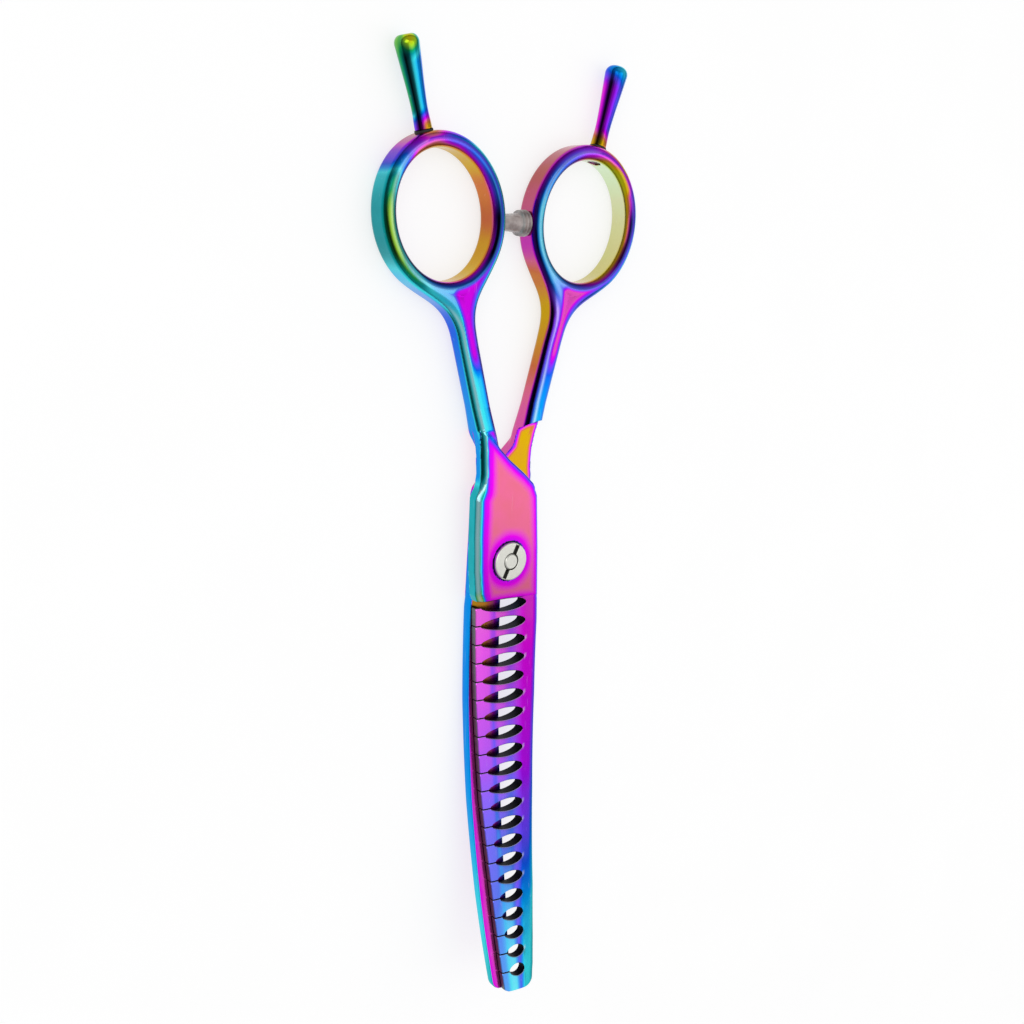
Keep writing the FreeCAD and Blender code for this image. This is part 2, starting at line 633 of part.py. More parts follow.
def make_plain_half(shop):
    """The rear half: bolt bore, keyed head seat, washer seat and bumper hole."""
    outer = f"{OUTER_FACE} + {OVERLAP}"
    bore = shop.cylinder("plain_bore", BOLT_BORE, f"-{OVERLAP}", outer)
    head_seat = f"({OUTER_FACE} - dims.bolt_head_thickness)"
    seat = shop.cylinder("plain_head_seat_round", "dims.bolt_head_radius + dims.running_clearance",
                         head_seat, outer)
    keyed = shop.cut("plain_head_seat", seat, [make_key_block(shop, "plain_key", "dims.running_clearance")])
    washer = shop.cylinder("plain_washer_seat", "dims.bearing_radius + dims.running_clearance",
                           "0", "dims.lap_clearance + dims.bearing_recess")
    stud = shop.doc.addObject("Part::Cylinder", "plain_bumper_hole")
    shop.bind(stud, Radius="dims.bumper_stud_radius + dims.bumper_stud_fit",
              Height=f"dims.bumper_stud_bite + dims.bumper_stud_end + {OVERLAP}")
    stud.Placement = FreeCAD.Placement(
        FreeCAD.Vector(0, 0, 0), FreeCAD.Rotation(FreeCAD.Vector(0, 0, 1), FreeCAD.Vector(1, 0, 0))
    )
    hole_end = "-dims.ring_gap / 2 - dims.bumper_stud_bite - dims.bumper_stud_end"
    shop.bind(stud, Placement__Base__x=hole_end, Placement__Base__y=BUMPER_Y)
    half = make_half(shop, "plain", PLAIN, -1, [bore, keyed, washer, stud])
    return shop.place(half, axis=(0, 1, 0), angle="180")


def make_key_block(shop, name, slack):
    """A block beyond the flat that keys the bolt's head."""
    block = shop.doc.addObject("Part::Box", name)
    shop.bind(block, Length=f"{KEY_BLOCK}", Width=f"{KEY_BLOCK}", Height=f"{KEY_BLOCK}")
    return shop.place(block, f"dims.bolt_flat + {slack}", f"-{KEY_BLOCK / 2}", f"-{KEY_BLOCK / 2}")


def make_pivot_bolt(shop):
    """The bolt: keyed head in the plain half, bearing shank and threaded end."""
    head_low = f"-{OUTER_FACE}"
    head_high = f"({head_low} + dims.bolt_head_thickness)"
    end = f"({NUT_TOP} + dims.bolt_end_proud)"
    ease = "dims.bolt_ease"
    bolt = shop.turned("pivot_bolt_turned", (
        ("0", head_low),
        (f"dims.bolt_head_radius - {ease}", head_low),
        ("dims.bolt_head_radius", f"{head_low} + {ease}"),
        ("dims.bolt_head_radius", head_high),
        ("dims.bolt_radius", head_high),
        ("dims.bolt_radius", NUT_SEAT_TOP),
        ("dims.bolt_end_radius", NUT_SEAT_TOP),
        ("dims.bolt_end_radius", f"{end} - {ease}"),
        (f"dims.bolt_end_radius - {ease}", end),
        ("0", end),
    ))
    block = make_key_block(shop, "bolt_key", "0")
    return shop.cut("pivot_bolt_cut", bolt, [mirrored_key(shop, block)])


def mirrored_key(shop, block):
    """The key block on the plain half's side, where X runs the other way."""
    return shop.place(block, f"-dims.bolt_flat - {KEY_BLOCK}", f"-{KEY_BLOCK / 2}", f"-{KEY_BLOCK / 2}")


def make_tension_nut(shop):
    """The round nut, with a screwdriver slot that the bolt's end interrupts."""
    ease = "dims.nut_ease"
    bore = "(dims.bolt_end_radius + dims.running_clearance)"
    nut = shop.turned("tension_nut_turned", (
        (bore, NUT_SEAT_TOP),
        ("dims.nut_radius", NUT_SEAT_TOP),
        ("dims.nut_radius", f"{NUT_TOP} - {ease}"),
        (f"dims.nut_radius - {ease}", NUT_TOP),
        (bore, NUT_TOP),
    ))
    slot_plan = shop.sketch("nut_slot_plan", (
        ("-dims.nut_radius - 1", "-dims.nut_slot_width / 2"),
        ("dims.nut_radius + 1", "-dims.nut_slot_width / 2"),
        ("dims.nut_radius + 1", "dims.nut_slot_width / 2"),
        ("-dims.nut_radius - 1", "dims.nut_slot_width / 2"),
    ))
    slot = shop.extrude("nut_slot", slot_plan, f"{NUT_TOP} - dims.nut_slot_depth", f"{NUT_TOP} + 1")
    shop.place(slot, angle="dims.nut_slot_angle")
    return shop.cut("tension_nut_cut", nut, [slot])


def make_rest(shop, name, hand):
    """A flared finger rest with its threaded stud, along the handle axis."""
    base = f"({REST_SEAT} + dims.rest_washer)"
    waist = f"({base} + dims.rest_waist_height)"
    top = f"({base} + dims.rest_length)"
    flare = f"({top} - dims.rest_flare)"
    stud_end = f"({HOLE_LONG} + dims.rest_stud_inset)"
    bulge = "(dims.rest_dome * (1 - cos(45)))"
    rest = shop.turned(name, (
        ("0", stud_end),
        ("dims.stud_radius", stud_end),
        ("dims.stud_radius", base),
        ("dims.rest_base_radius", base),
        ("dims.rest_waist_radius", waist),
        ("dims.rest_tip_radius", flare),
        ("dims.rest_tip_radius", f"{top} - dims.rest_dome",
         f"dims.rest_tip_radius - {bulge}", f"{top} - {bulge}"),
        ("dims.rest_tip_radius - dims.rest_dome", top),
        ("0", top),
    ))
    return place_along_handle(shop, rest, hand)


def make_rest_washer(shop, name, hand):
    """The thin washer between a finger rest and its ring."""
    washer = shop.ring_washer(name, "dims.stud_radius + dims.running_clearance",
                              "dims.rest_base_radius + dims.rest_washer_proud",
                              REST_SEAT, f"{REST_SEAT} + dims.rest_washer")
    return place_along_handle(shop, washer, hand)


def make_bumper(shop):
    """The soft bumper: ribbed flange on the plain half's ring, cone to the other."""
    end = "(dims.ring_gap - dims.bumper_contact_gap)"
    rib = "(dims.bumper_flange / 2)"
    groove_radius = "(dims.bumper_flange_radius - dims.bumper_groove)"
    bore = "(dims.bumper_stud_radius + dims.bumper_stud_fit)"
    root = "(dims.bumper_flange + dims.bumper_shoulder)"
    blind = "(dims.bumper_stud_grip + dims.bumper_stud_end)"
    bumper = shop.turned("bumper", (
        (bore, "0"),
        ("dims.bumper_flange_radius", "0"),
        ("dims.bumper_flange_radius", f"{rib} - dims.bumper_rib"),
        (groove_radius, rib),
        ("dims.bumper_flange_radius - dims.bumper_taper / 2", f"{rib} + dims.bumper_rib"),
        ("dims.bumper_flange_radius - dims.bumper_taper", "dims.bumper_flange"),
        ("dims.bumper_root_radius", root),
        ("dims.bumper_tip_radius", f"{end} - dims.bumper_ease"),
        ("dims.bumper_tip_radius - dims.bumper_ease", end),
        ("0", end),
        ("0", blind),
        (bore, blind),
    ))
    return point_at_other_ring(shop, bumper)


def make_bumper_stud(shop):
    """The stud that holds the bumper in the ring's wall."""
    stud = shop.turned("bumper_stud", (
        ("0", "-dims.bumper_stud_bite"),
        ("dims.bumper_stud_radius", "-dims.bumper_stud_bite"),
        ("dims.bumper_stud_radius", "dims.bumper_stud_grip"),
        ("0", "dims.bumper_stud_grip"),
    ))
    return point_at_other_ring(shop, stud)


def point_at_other_ring(shop, item):
    """Lay an item made along Z on the bumper's axis, pointing to the toothed half."""
    item.Placement = FreeCAD.Placement(
        FreeCAD.Vector(0, 0, 0), FreeCAD.Rotation(FreeCAD.Vector(0, 0, 1), FreeCAD.Vector(-1, 0, 0))
    )
    return shop.bind(item, Placement__Base__x="dims.ring_gap / 2", Placement__Base__y=BUMPER_Y)


def make_nodes(shop):
    """Every physical piece of the shears, by node name."""
    bolt_hole = BOLT_BORE
    spring_rim = "dims.nut_radius - dims.spring_washer_inset"
    return {
        "toothed_half": make_toothed_half(shop),
        "plain_half": make_plain_half(shop),
        "pivot_bolt": make_pivot_bolt(shop),
        "pivot_bushing": shop.ring_washer("pivot_bushing", bolt_hole, BUSHING_RADIUS,
                                          "dims.lap_clearance", NUT_SEAT),
        "blade_bearing_washer": shop.ring_washer("blade_bearing_washer", bolt_hole, "dims.bearing_radius",
                                                 "-dims.lap_clearance - dims.bearing_recess",
                                                 "dims.lap_clearance"),
        "nut_seat_washer": shop.ring_washer("nut_seat_washer", bolt_hole, "dims.nut_radius",
                                            NUT_SEAT, SPRING_SEAT),
        "tension_spring_washer": shop.ring_washer("tension_spring_washer", bolt_hole, spring_rim,
                                                  SPRING_SEAT, NUT_SEAT_TOP),
        "tension_nut": make_tension_nut(shop),
        "left_finger_rest": make_rest(shop, "left_finger_rest", "-1"),
        "left_rest_washer": make_rest_washer(shop, "left_rest_washer", "-1"),
        "right_finger_rest": make_rest(shop, "right_finger_rest", "1"),
        "right_rest_washer": make_rest_washer(shop, "right_rest_washer", "1"),
        "bumper": make_bumper(shop),
        "bumper_stud": make_bumper_stud(shop),
    }


def check(doc, nodes):
    """Stop if any object failed or any node is not one valid solid."""
    for item in doc.Objects:
        if {"Invalid", "Error"} & set(item.State):
            raise RuntimeError(f"{item.Name} failed: {item.State}")
    for name, item in nodes.items():
        shape = item.Shape
        if shape.isNull() or not shape.isValid():
            raise RuntimeError(f"{name} has no valid shape")
        if len(shape.Solids) != 1:
            raise RuntimeError(f"{name} has {len(shape.Solids)} solids")


def main():
    """Build the document, check it and write one file for each node."""
    doc = FreeCAD.newDocument("thinning_shears")
    nodes = make_nodes(Shop(doc, make_sheet(doc)))
    doc.recompute()
    check(doc, nodes)
    os.makedirs("parts", exist_ok=True)
    for name, item in nodes.items():
        item.Label = name
        item.Shape.exportStep(f"parts/{name}.step")
        box = item.Shape.BoundBox
        print(f"{name:24s} {item.Shape.Volume:9.1f} mm3  x {box.XMin:7.2f} {box.XMax:7.2f}"
              f"  y {box.YMin:7.2f} {box.YMax:7.2f}  z {box.ZMin:6.2f} {box.ZMax:6.2f}")


main()
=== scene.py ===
"""Looks of a pair of curved thinning shears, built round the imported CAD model.

Every length inside this file is in millimetres, and each mesh is written in metres.  The
frame is the CAD model's: origin on the pivot axis where the halves meet, +Y towards the
finger rings, +Z towards the tension nut.  A half's own frame is that frame for the toothed
half; the plain half is drawn the same way and turned half a turn about Y.
"""

import json
import logging
import math
from collections.abc import Callable, Mapping, Sequence
from dataclasses import dataclass
from enum import Enum

import bmesh
import bpy
import numpy as np
from mathutils import Matrix, Vector

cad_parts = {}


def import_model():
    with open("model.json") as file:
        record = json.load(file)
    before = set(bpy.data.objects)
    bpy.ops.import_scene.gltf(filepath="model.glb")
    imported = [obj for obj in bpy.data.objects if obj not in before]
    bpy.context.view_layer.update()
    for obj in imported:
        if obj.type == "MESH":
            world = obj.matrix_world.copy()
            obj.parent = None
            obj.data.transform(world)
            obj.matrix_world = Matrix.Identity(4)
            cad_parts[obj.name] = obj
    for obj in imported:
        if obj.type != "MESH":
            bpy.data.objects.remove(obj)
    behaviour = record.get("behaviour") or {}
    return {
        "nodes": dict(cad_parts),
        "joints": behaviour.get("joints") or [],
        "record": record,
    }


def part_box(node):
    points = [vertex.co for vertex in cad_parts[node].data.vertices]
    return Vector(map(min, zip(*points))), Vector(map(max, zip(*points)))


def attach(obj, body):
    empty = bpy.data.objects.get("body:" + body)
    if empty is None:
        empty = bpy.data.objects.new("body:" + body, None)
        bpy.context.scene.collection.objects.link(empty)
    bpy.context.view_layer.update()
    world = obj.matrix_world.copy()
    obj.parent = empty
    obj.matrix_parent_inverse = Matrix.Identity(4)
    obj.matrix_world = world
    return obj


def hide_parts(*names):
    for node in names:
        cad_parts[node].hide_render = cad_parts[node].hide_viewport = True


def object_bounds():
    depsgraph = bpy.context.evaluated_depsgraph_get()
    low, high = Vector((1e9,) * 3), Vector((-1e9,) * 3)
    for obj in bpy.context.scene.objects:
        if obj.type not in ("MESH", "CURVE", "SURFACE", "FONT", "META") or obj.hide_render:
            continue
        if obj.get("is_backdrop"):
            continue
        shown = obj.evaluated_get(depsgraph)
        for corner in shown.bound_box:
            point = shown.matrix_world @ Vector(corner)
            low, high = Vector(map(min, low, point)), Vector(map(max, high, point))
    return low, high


MM = 0.001
FLOOR_GAP = 0.00005  # metres from the lowest face down to the floor, so that they don't lie in one plane
LOG = logging.getLogger("shears")

Field = Callable[[np.ndarray], np.ndarray]


# ---------------------------------------------------------------------------------------
# Shader expressions
# ---------------------------------------------------------------------------------------


class Sock:
    """One value in a material's node tree; arithmetic on it adds Math nodes."""

    def __init__(self, graph: "Graph", socket: bpy.types.NodeSocket) -> None:
        """Keep the socket and the graph that it belongs to."""
        self.graph = graph
        self.socket = socket

    def __add__(self, other: "Sock | float") -> "Sock":
        """Sum."""
        return self.graph.maths("ADD", self, other)

    def __sub__(self, other: "Sock | float") -> "Sock":
        """Difference."""
        return self.graph.maths("SUBTRACT", self, other)

    def __rsub__(self, other: "Sock | float") -> "Sock":
        """Difference, from a plain number."""
        return self.graph.maths("SUBTRACT", other, self)

    def __mul__(self, other: "Sock | float") -> "Sock":
        """Product."""
        return self.graph.maths("MULTIPLY", self, other)

    def __truediv__(self, other: "Sock | float") -> "Sock":
        """Quotient."""
        return self.graph.maths("DIVIDE", self, other)

    def __pow__(self, other: "Sock | float") -> "Sock":
        """Power."""
        return self.graph.maths("POWER", self, other)

    __radd__ = __add__
    __rmul__ = __mul__

    def turns(self) -> "Sock":
        """The value's fraction, so that a film's order of colours repeats."""
        return self.graph.maths("FRACT", self)

    def rise(self, low: float, high: float) -> "Sock":
        """0 below low, 1 above high, and smooth between them.

        Args:
            low: value at the foot of the rise.
            high: value at its top.

        Returns:
            A number from 0 to 1.
        """
        settings = {"interpolation_type": "SMOOTHSTEP"}
        inputs = {"Value": self, "From Min": low, "From Max": high}
        return self.graph.node("ShaderNodeMapRange", settings, inputs, "Result")


class Graph:
    """A material under construction, with one Principled shader."""

    def __init__(self, name: str) -> None:
        """Start an empty material.

        Args:
            name: the material's name.
        """
        self.material = bpy.data.materials.new(name)
        self.material.use_nodes = True
        self.tree = self.material.node_tree
        self.tree.nodes.clear()
        self.shader = self.tree.nodes.new("ShaderNodeBsdfPrincipled")
        output = self.tree.nodes.new("ShaderNodeOutputMaterial")
        self.tree.links.new(self.shader.outputs["BSDF"], output.inputs["Surface"])

    def feed(self, socket: bpy.types.NodeSocket, value: object) -> None:
        """Link a value to a socket, or set the socket to it where it is a constant.

        Args:
            socket: the input.
            value: a number, a colour or a Sock.
        """
        if isinstance(value, Sock):
            self.tree.links.new(value.socket, socket)
        else:
            socket.default_value = value

    def node(
        self,
        kind: str,
        settings: Mapping[str, object],
        inputs: Mapping[object, object],
        output: object = 0,
    ) -> Sock:
        """Add any node.

        Args:
            kind: the node's type.
            settings: its properties; "stops" fills a colour ramp with (place, colour) pairs.
            inputs: a value or a Sock for each input, by name or index.
            output: the output that is handed on, by name or index.

        Returns:
            The chosen output.
        """
        made = self.tree.nodes.new(kind)
        for key, value in settings.items():
            if key == "stops":
                ramp = made.color_ramp.elements
                while len(ramp) < len(value):
                    ramp.new(1.0)
                for element, (place, colour) in zip(ramp, value):
                    element.position = place
                    element.color = (*colour, 1.0)
            else:
                setattr(made, key, value)
        for key, value in inputs.items():
            self.feed(made.inputs[key], value)
        return Sock(self, made.outputs[output])

    def maths(self, operation: str, *values: "Sock | float") -> Sock:
        """One Math node on these values."""
        return self.node("ShaderNodeMath", {"operation": operation}, dict(enumerate(values)))

    def blend(self, factor: "Sock | float", first: object, second: object, how: str = "MIX") -> Sock:
        """Mix two colours.

        Args:
            factor: how much of the second colour there is.
            first: a colour or a Sock.
            second: a colour or a Sock.
            how: the mixing mode.

        Returns:
            The mixed colour.
        """
        settings = {"data_type": "RGBA", "blend_type": how}
        return self.node("ShaderNodeMix", settings, {0: factor, 6: first, 7: second}, 2)

    def place(self, stretch: tuple[float, float, float], turn: float = 0.0) -> Sock:
        """Object coordinates in metres, turned about Z by an angle and stretched.

        Args:
            stretch: factors along X, Y and Z.
            turn: the angle, in radians.

        Returns:
            The place, as a vector.
        """
        position = self.node("ShaderNodeTexCoord", {}, {}, "Object")
        inputs = {"Vector": position, "Rotation": (0.0, 0.0, turn), "Scale": stretch}
        return self.node("ShaderNodeMapping", {"vector_type": "POINT"}, inputs)

    def attribute(self, name: str) -> Sock:
        """A number that the piece carries at each of its points."""
        return self.node("ShaderNodeAttribute", {"attribute_name": name}, {}, "Fac")

    def noise(self, place: Sock, scale: float, detail: float = 3.0, roughness: float = 0.5) -> Sock:
        """Soft noise from 0 to 1 at a place."""
        inputs = {"Vector": place, "Scale": scale, "Detail": detail, "Roughness": roughness}
        return self.node("ShaderNodeTexNoise", {}, inputs, 0)

    def bump(self, height: Sock, strength: float, distance: float) -> Sock:
        """A normal raised by a height from 0 to 1 over a distance in millimetres."""
        inputs = {"Height": height, "Strength": strength, "Distance": distance * MM}
        return self.node("ShaderNodeBump", {}, inputs)

    def dress(self, **sockets: object) -> bpy.types.Material:
        """Set the Principled shader's sockets, written as base_color for Base Color.

        Args:
            sockets: a value or a Sock for each socket that is set.

        Returns:
            The finished material.
        """
        names = {"specular": "Specular IOR Level"}
        for key, value in sockets.items():
            name = names.get(key, key.replace("_", " ").title())
            self.feed(self.shader.inputs[name], value)
        return self.material


def ink(red: int, green: int, blue: int) -> tuple[float, float, float]:
    """A colour given as 0 to 255 on a screen, in linear light.

    Below 0.04045 a part is divided by 12.92, and above it is ((c + 0.055) / 1.055)^2.4.

    Args:
        red: 0 to 255.
        green: 0 to 255.
        blue: 0 to 255.

    Returns:
        Three numbers from 0 to 1.
    """
    parts = np.array([red, green, blue]) / 255.0
    low, high = parts / 12.92, ((parts + 0.055) / 1.055) ** 2.4
    return tuple(float(v) for v in np.where(parts < 0.04045, low, high))


def paint(red: int, green: int, blue: int) -> tuple[float, float, float, float]:
    """The same as a shader's colour value."""
    return (*ink(red, green, blue), 1.0)


# ---------------------------------------------------------------------------------------
# Finishes
# ---------------------------------------------------------------------------------------


class Hue(Enum):
    """Interference colours of the titanium film, by order as the film thickens."""

    GOLD = 0.00
    COPPER = 0.07
    ROSE = 0.12
    MAGENTA = 0.20
    PURPLE = 0.28
    VIOLET = 0.36
    BLUE = 0.44
    AZURE = 0.52
    AQUA = 0.60
    TEAL = 0.68
    GREEN = 0.76
    LIME = 0.86
    STRAW = 1.00


FILM_COLOURS: dict[Hue, tuple[float, float, float]] = {
    Hue.GOLD: ink(205, 165, 0),
    Hue.COPPER: ink(205, 108, 62),
    Hue.ROSE: ink(224, 104, 146),
    Hue.MAGENTA: ink(226, 8, 226),
    Hue.PURPLE: ink(160, 16, 236),
    Hue.VIOLET: ink(104, 64, 246),
    Hue.BLUE: ink(14, 84, 224),
    Hue.AZURE: ink(0, 150, 232),
    Hue.AQUA: ink(56, 216, 228),
    Hue.TEAL: ink(12, 160, 168),
    Hue.GREEN: ink(16, 164, 92),
    Hue.LIME: ink(166, 216, 40),
    Hue.STRAW: ink(205, 165, 0),
}


@dataclass(frozen=True)
class RainbowFilm:
    """Polished steel under a thin titanium film whose thickness sets its colour.

    The piece carries three numbers at each point: film, its order of colour; shade, how
    far a painted dark reflection along a rounding takes its colour away; and pale, how
    far a painted highlight whitens it.
    """

    name: str
    roughness: float = 0.2
    grain: float = 0.05
    drift: float = 0.03
    polish_turn: float = 0.0

    def build(self) -> bpy.types.Material:
        """Make the material: colour from the film, with its painted highlights and painted dark
        reflections, fine polish lines and hairline scratches.

        Returns:
            The finished material.
        """
        graph = Graph(self.name)
        even = graph.place((1.0, 1.0, 1.0))
        lines = graph.place((1.0, 0.05, 1.0), self.polish_turn)
        clouds = graph.noise(even, 260.0, 2.0)
        polish = graph.noise(lines, 5200.0, 3.0, 0.6)
        hairline = graph.noise(graph.place((1.0, 0.02, 1.0), 0.5), 3000.0, 2.0, 0.7).rise(0.66, 0.74)
        order = graph.attribute("film") + (clouds - 0.5) * self.drift
        stops = [(hue.value, colour) for hue, colour in FILM_COLOURS.items()]
        colour = graph.node("ShaderNodeValToRGB", {"stops": stops}, {"Fac": order.turns()}, "Color")
        colour = graph.blend(hairline * 0.12, colour, paint(235, 235, 240))
        # pale is a painted highlight: the film's colour whitened where a bright reflection would lie
        colour = graph.blend(graph.attribute("pale"), colour, paint(244, 248, 255))
        # shade is a painted dark reflection: the film's colour taken towards black along a rounding
        dark = graph.attribute("shade")
        colour = graph.blend(dark, colour, paint(3, 2, 8))
        rough = polish * self.grain + (self.roughness - self.grain / 2) + hairline * 0.08
        height = polish * 0.6 + clouds * 0.4
        return graph.dress(
            base_color=colour,
            metallic=1.0,
            roughness=rough,
            normal=graph.bump(height, 0.06, 0.02),
        )


@dataclass(frozen=True)
class BareSteel:
    """Ground or turned steel without any film."""

    name: str
    colour: tuple[float, float, float, float]
    roughness: float = 0.25
    stretch: tuple[float, float, float] = (1.0, 1.0, 1.0)
    grain_scale: float = 4000.0
    grain: float = 0.12
    # tint mixed in by the grain: grey for ground steel, and on the gullet walls part of their painted shade
    grain_and_shade_tint: tuple[float, float, float, float] = paint(120, 120, 126)

    def build(self) -> bpy.types.Material:
        """Make the material: grinding grain in colour, roughness and height, and painted shade
        where the piece's shade number is set.

        Returns:
            The finished material.
        """
        graph = Graph(self.name)
        grain = graph.noise(graph.place(self.stretch), self.grain_scale, 3.0, 0.6)
        stain = graph.noise(graph.place((1.0, 1.0, 1.0)), 700.0, 2.0)
        # painted shade: the colour is taken towards black where the piece's shade number is set, as in the
        # nut's slot
        painted_shade = graph.attribute("shade")
        colour = graph.blend(grain * 0.35 + stain * 0.1, self.colour, self.grain_and_shade_tint)
        colour = graph.blend(painted_shade, colour, paint(6, 6, 8))
        rough = grain * self.grain + self.roughness + stain * 0.05
        return graph.dress(
            base_color=colour,
            metallic=1.0,
            roughness=rough,
            normal=graph.bump(grain, 0.12, 0.02),
        )


@dataclass(frozen=True)
class Moulded:
    """Plastic, rubber or silicone with a fine moulded texture."""

    name: str
    colour: tuple[float, float, float, float]
    shadow: tuple[float, float, float, float]
    roughness: float = 0.5
    grain_scale: float = 2600.0
    depth: float = 0.25
    coat: float = 0.0
    clearness: float = 0.0

    def build(self) -> bpy.types.Material:
        """Make the material: cloudy colour, uneven gloss and a pebbled surface.

        Returns:
            The finished material.
        """
        graph = Graph(self.name)
        even = graph.place((1.0, 1.0, 1.0))
        clouds = graph.noise(even, 420.0, 3.0)
        pebbles = graph.noise(even, self.grain_scale, 3.0, 0.6)
        colour = graph.blend(clouds.rise(0.25, 0.75), self.shadow, self.colour)
        return graph.dress(
            base_color=colour,
            roughness=pebbles * 0.12 + (self.roughness - 0.06),
            coat_weight=self.coat,
            subsurface_weight=self.clearness,
            subsurface_radius=(0.0012, 0.001, 0.0009),
            normal=graph.bump(pebbles, self.depth, 0.02),
        )


# ---------------------------------------------------------------------------------------
# Meshes
# ---------------------------------------------------------------------------------------


@dataclass
class Skin:
    """A closed surface under construction: points, four-sided faces and what they carry."""

    points: np.ndarray
    quads: np.ndarray
    numbers: dict[str, np.ndarray]
    paints: np.ndarray | None = None
    normals: np.ndarray | None = None

    def lay(
        self, name: str, materials: Sequence[bpy.types.Material], crease: float = 40.0
    ) -> bpy.types.Object:
        """Write the skin into a mesh object at the origin.

        Args:
            name: the piece's name.
            materials: its materials, in the order that paints counts them.
            crease: edges sharper than this many degrees are shaded as edges.

        Returns:
            The new object, linked to the scene.
        """
        mesh = bpy.data.meshes.new(name)
        mesh.from_pydata((self.points * MM).tolist(), [], self.quads.tolist())
        for key, values in self.numbers.items():
            attribute = mesh.attributes.new(key, "FLOAT", "POINT")
            attribute.data.foreach_set("value", values.astype(np.float32))
        if self.paints is not None:
            mesh.polygons.foreach_set("material_index", self.paints.astype(np.int32))
        mesh.polygons.foreach_set("use_smooth", np.ones(len(mesh.polygons), bool))
        for material in materials:
            mesh.materials.append(material)
        if self.normals is None:
            weld(mesh)
            mesh.set_sharp_from_angle(angle=math.radians(crease))
        else:
            mesh.normals_split_custom_set_from_vertices(self.normals.tolist())
        mesh.update()
        made = bpy.data.objects.new(name, mesh)
        bpy.context.scene.collection.objects.link(made)
        return made


def weld(mesh: bpy.types.Mesh) -> None:
    """Merge points in the same place, which closes seams and poles, and drop empty faces.

    Args:
        mesh: the mesh, which is changed.
    """
    shape = bmesh.new()
    shape.from_mesh(mesh)
    bmesh.ops.remove_doubles(shape, verts=shape.verts, dist=1e-6)
    bmesh.ops.dissolve_degenerate(shape, edges=shape.edges, dist=1e-7)
    loose = [vert for vert in shape.verts if not vert.link_faces]
    bmesh.ops.delete(shape, geom=loose, context="VERTS")
    shape.to_mesh(mesh)
    shape.free()


def sheet_quads(rows: int, columns: int, start: int = 0, wrap: bool = False) -> np.ndarray:
    """Faces of a grid of points numbered row by row.

    Args:
        rows: number of rows of points.
        columns: number of points in a row.
        start: number of the first point.
        wrap: whether each row closes on itself.

    Returns:
        Point numbers, four to a face; the side seen with columns running right and rows
        running up is the front.
    """
    across = np.arange(columns if wrap else columns - 1)
    row, column = np.meshgrid(np.arange(rows - 1), across, indexing="ij")
    after = (column + 1) % columns
    here, above = row * columns, (row + 1) * columns
    corners = [here + column, here + after, above + after, above + column]
    return np.stack(corners, -1).reshape(-1, 4) + start


def rise(low: float, high: float, value: np.ndarray) -> np.ndarray:
    """0 below low, 1 above high and smooth between them: 3t^2 - 2t^3."""
    t = np.clip((value - low) / (high - low), 0.0, 1.0)
    return t * t * (3.0 - 2.0 * t)


def soft_min(first: np.ndarray, second: np.ndarray, reach: float) -> np.ndarray:
    """The lesser of two distances, with a fillet where they are within reach of each other.

    Args:
        first: distances to one shape.
        second: distances to the other.
        reach: how far apart they may be for the fillet to act.

    Returns:
        The joined distance.  With h = 0.5 + (second - first) / (2 reach), from 0 to 1, it is
        first h + second (1 - h) - reach h (1 - h).
    """
    share = np.clip(0.5 + 0.5 * (second - first) / reach, 0.0, 1.0)
    return second + (first - second) * share - reach * share * (1.0 - share)


def soft_max(first: np.ndarray, second: np.ndarray, reach: float) -> np.ndarray:
    """The greater of two distances, with the edge between them eased."""
    return -soft_min(-first, -second, reach)


def oval_distance(u: np.ndarray, v: np.ndarray, half_u: float, half_v: float) -> np.ndarray:
    """About the distance to an ellipse: k0 (k0 - 1) / k1, with k0 and k1 the scaled lengths.

    Args:
        u: places across.
        v: places along.
        half_u: the ellipse's half width.
        half_v: its half length.

    Returns:
        Distances, negative inside.
    """
    k0 = np.hypot(u / half_u, v / half_v)
    k1 = np.maximum(np.hypot(u / half_u**2, v / half_v**2), 1e-6)
    return k0 * (k0 - 1.0) / k1


def eased(across: np.ndarray, up: np.ndarray, ease: float | np.ndarray) -> np.ndarray:
    """Distance to a section with rounded corners.

    Args:
        across: distance past the section's walls, plus the ease.
        up: distance past its top, plus the ease.
        ease: the corners' radius.

    Returns:
        The length of what lies outside, or the greater part inside, less the ease.
    """
    outside = np.hypot(np.maximum(across, 0.0), np.maximum(up, 0.0))
    return np.minimum(np.maximum(across, up), 0.0) + outside - ease


def line_distance(x: np.ndarray, y: np.ndarray, points: Sequence[tuple[float, float]]) -> np.ndarray:
    """Distance in plan to a line through these points.

    Args:
        x: places on X.
        y: places on Y.
        points: the line's corners in order.

    Returns:
        Distances to the nearest of the line's parts.
    """
    nearest = np.full(x.shape, 1e9)
    for (ax, ay), (bx, by) in zip(points, points[1:]):
        ex, ey = bx - ax, by - ay
        t = np.clip(((x - ax) * ex + (y - ay) * ey) / (ex * ex + ey * ey), 0.0, 1.0)
        nearest = np.minimum(nearest, np.hypot(x - ax - t * ex, y - ay - t * ey))
    return nearest


def outline_distance(x: np.ndarray, y: np.ndarray, points: Sequence[tuple[float, float]]) -> np.ndarray:
    """Distance in plan to a closed outline, negative inside it.

    Args:
        x: places on X.
        y: places on Y.
        points: the outline's corners in order.

    Returns:
        Distances; a place is inside if a ray from it crosses the outline an odd number of times.
    """
    closed = [*points, points[0]]
    inside = np.zeros(x.shape, bool)
    for (ax, ay), (bx, by) in zip(closed, closed[1:]):
        if ay != by:
            crosses = ((ay > y) != (by > y)) & (x < (bx - ax) * (y - ay) / (by - ay) + ax)
            inside ^= crosses
    distance = line_distance(x, y, closed)
    return np.where(inside, -distance, distance)


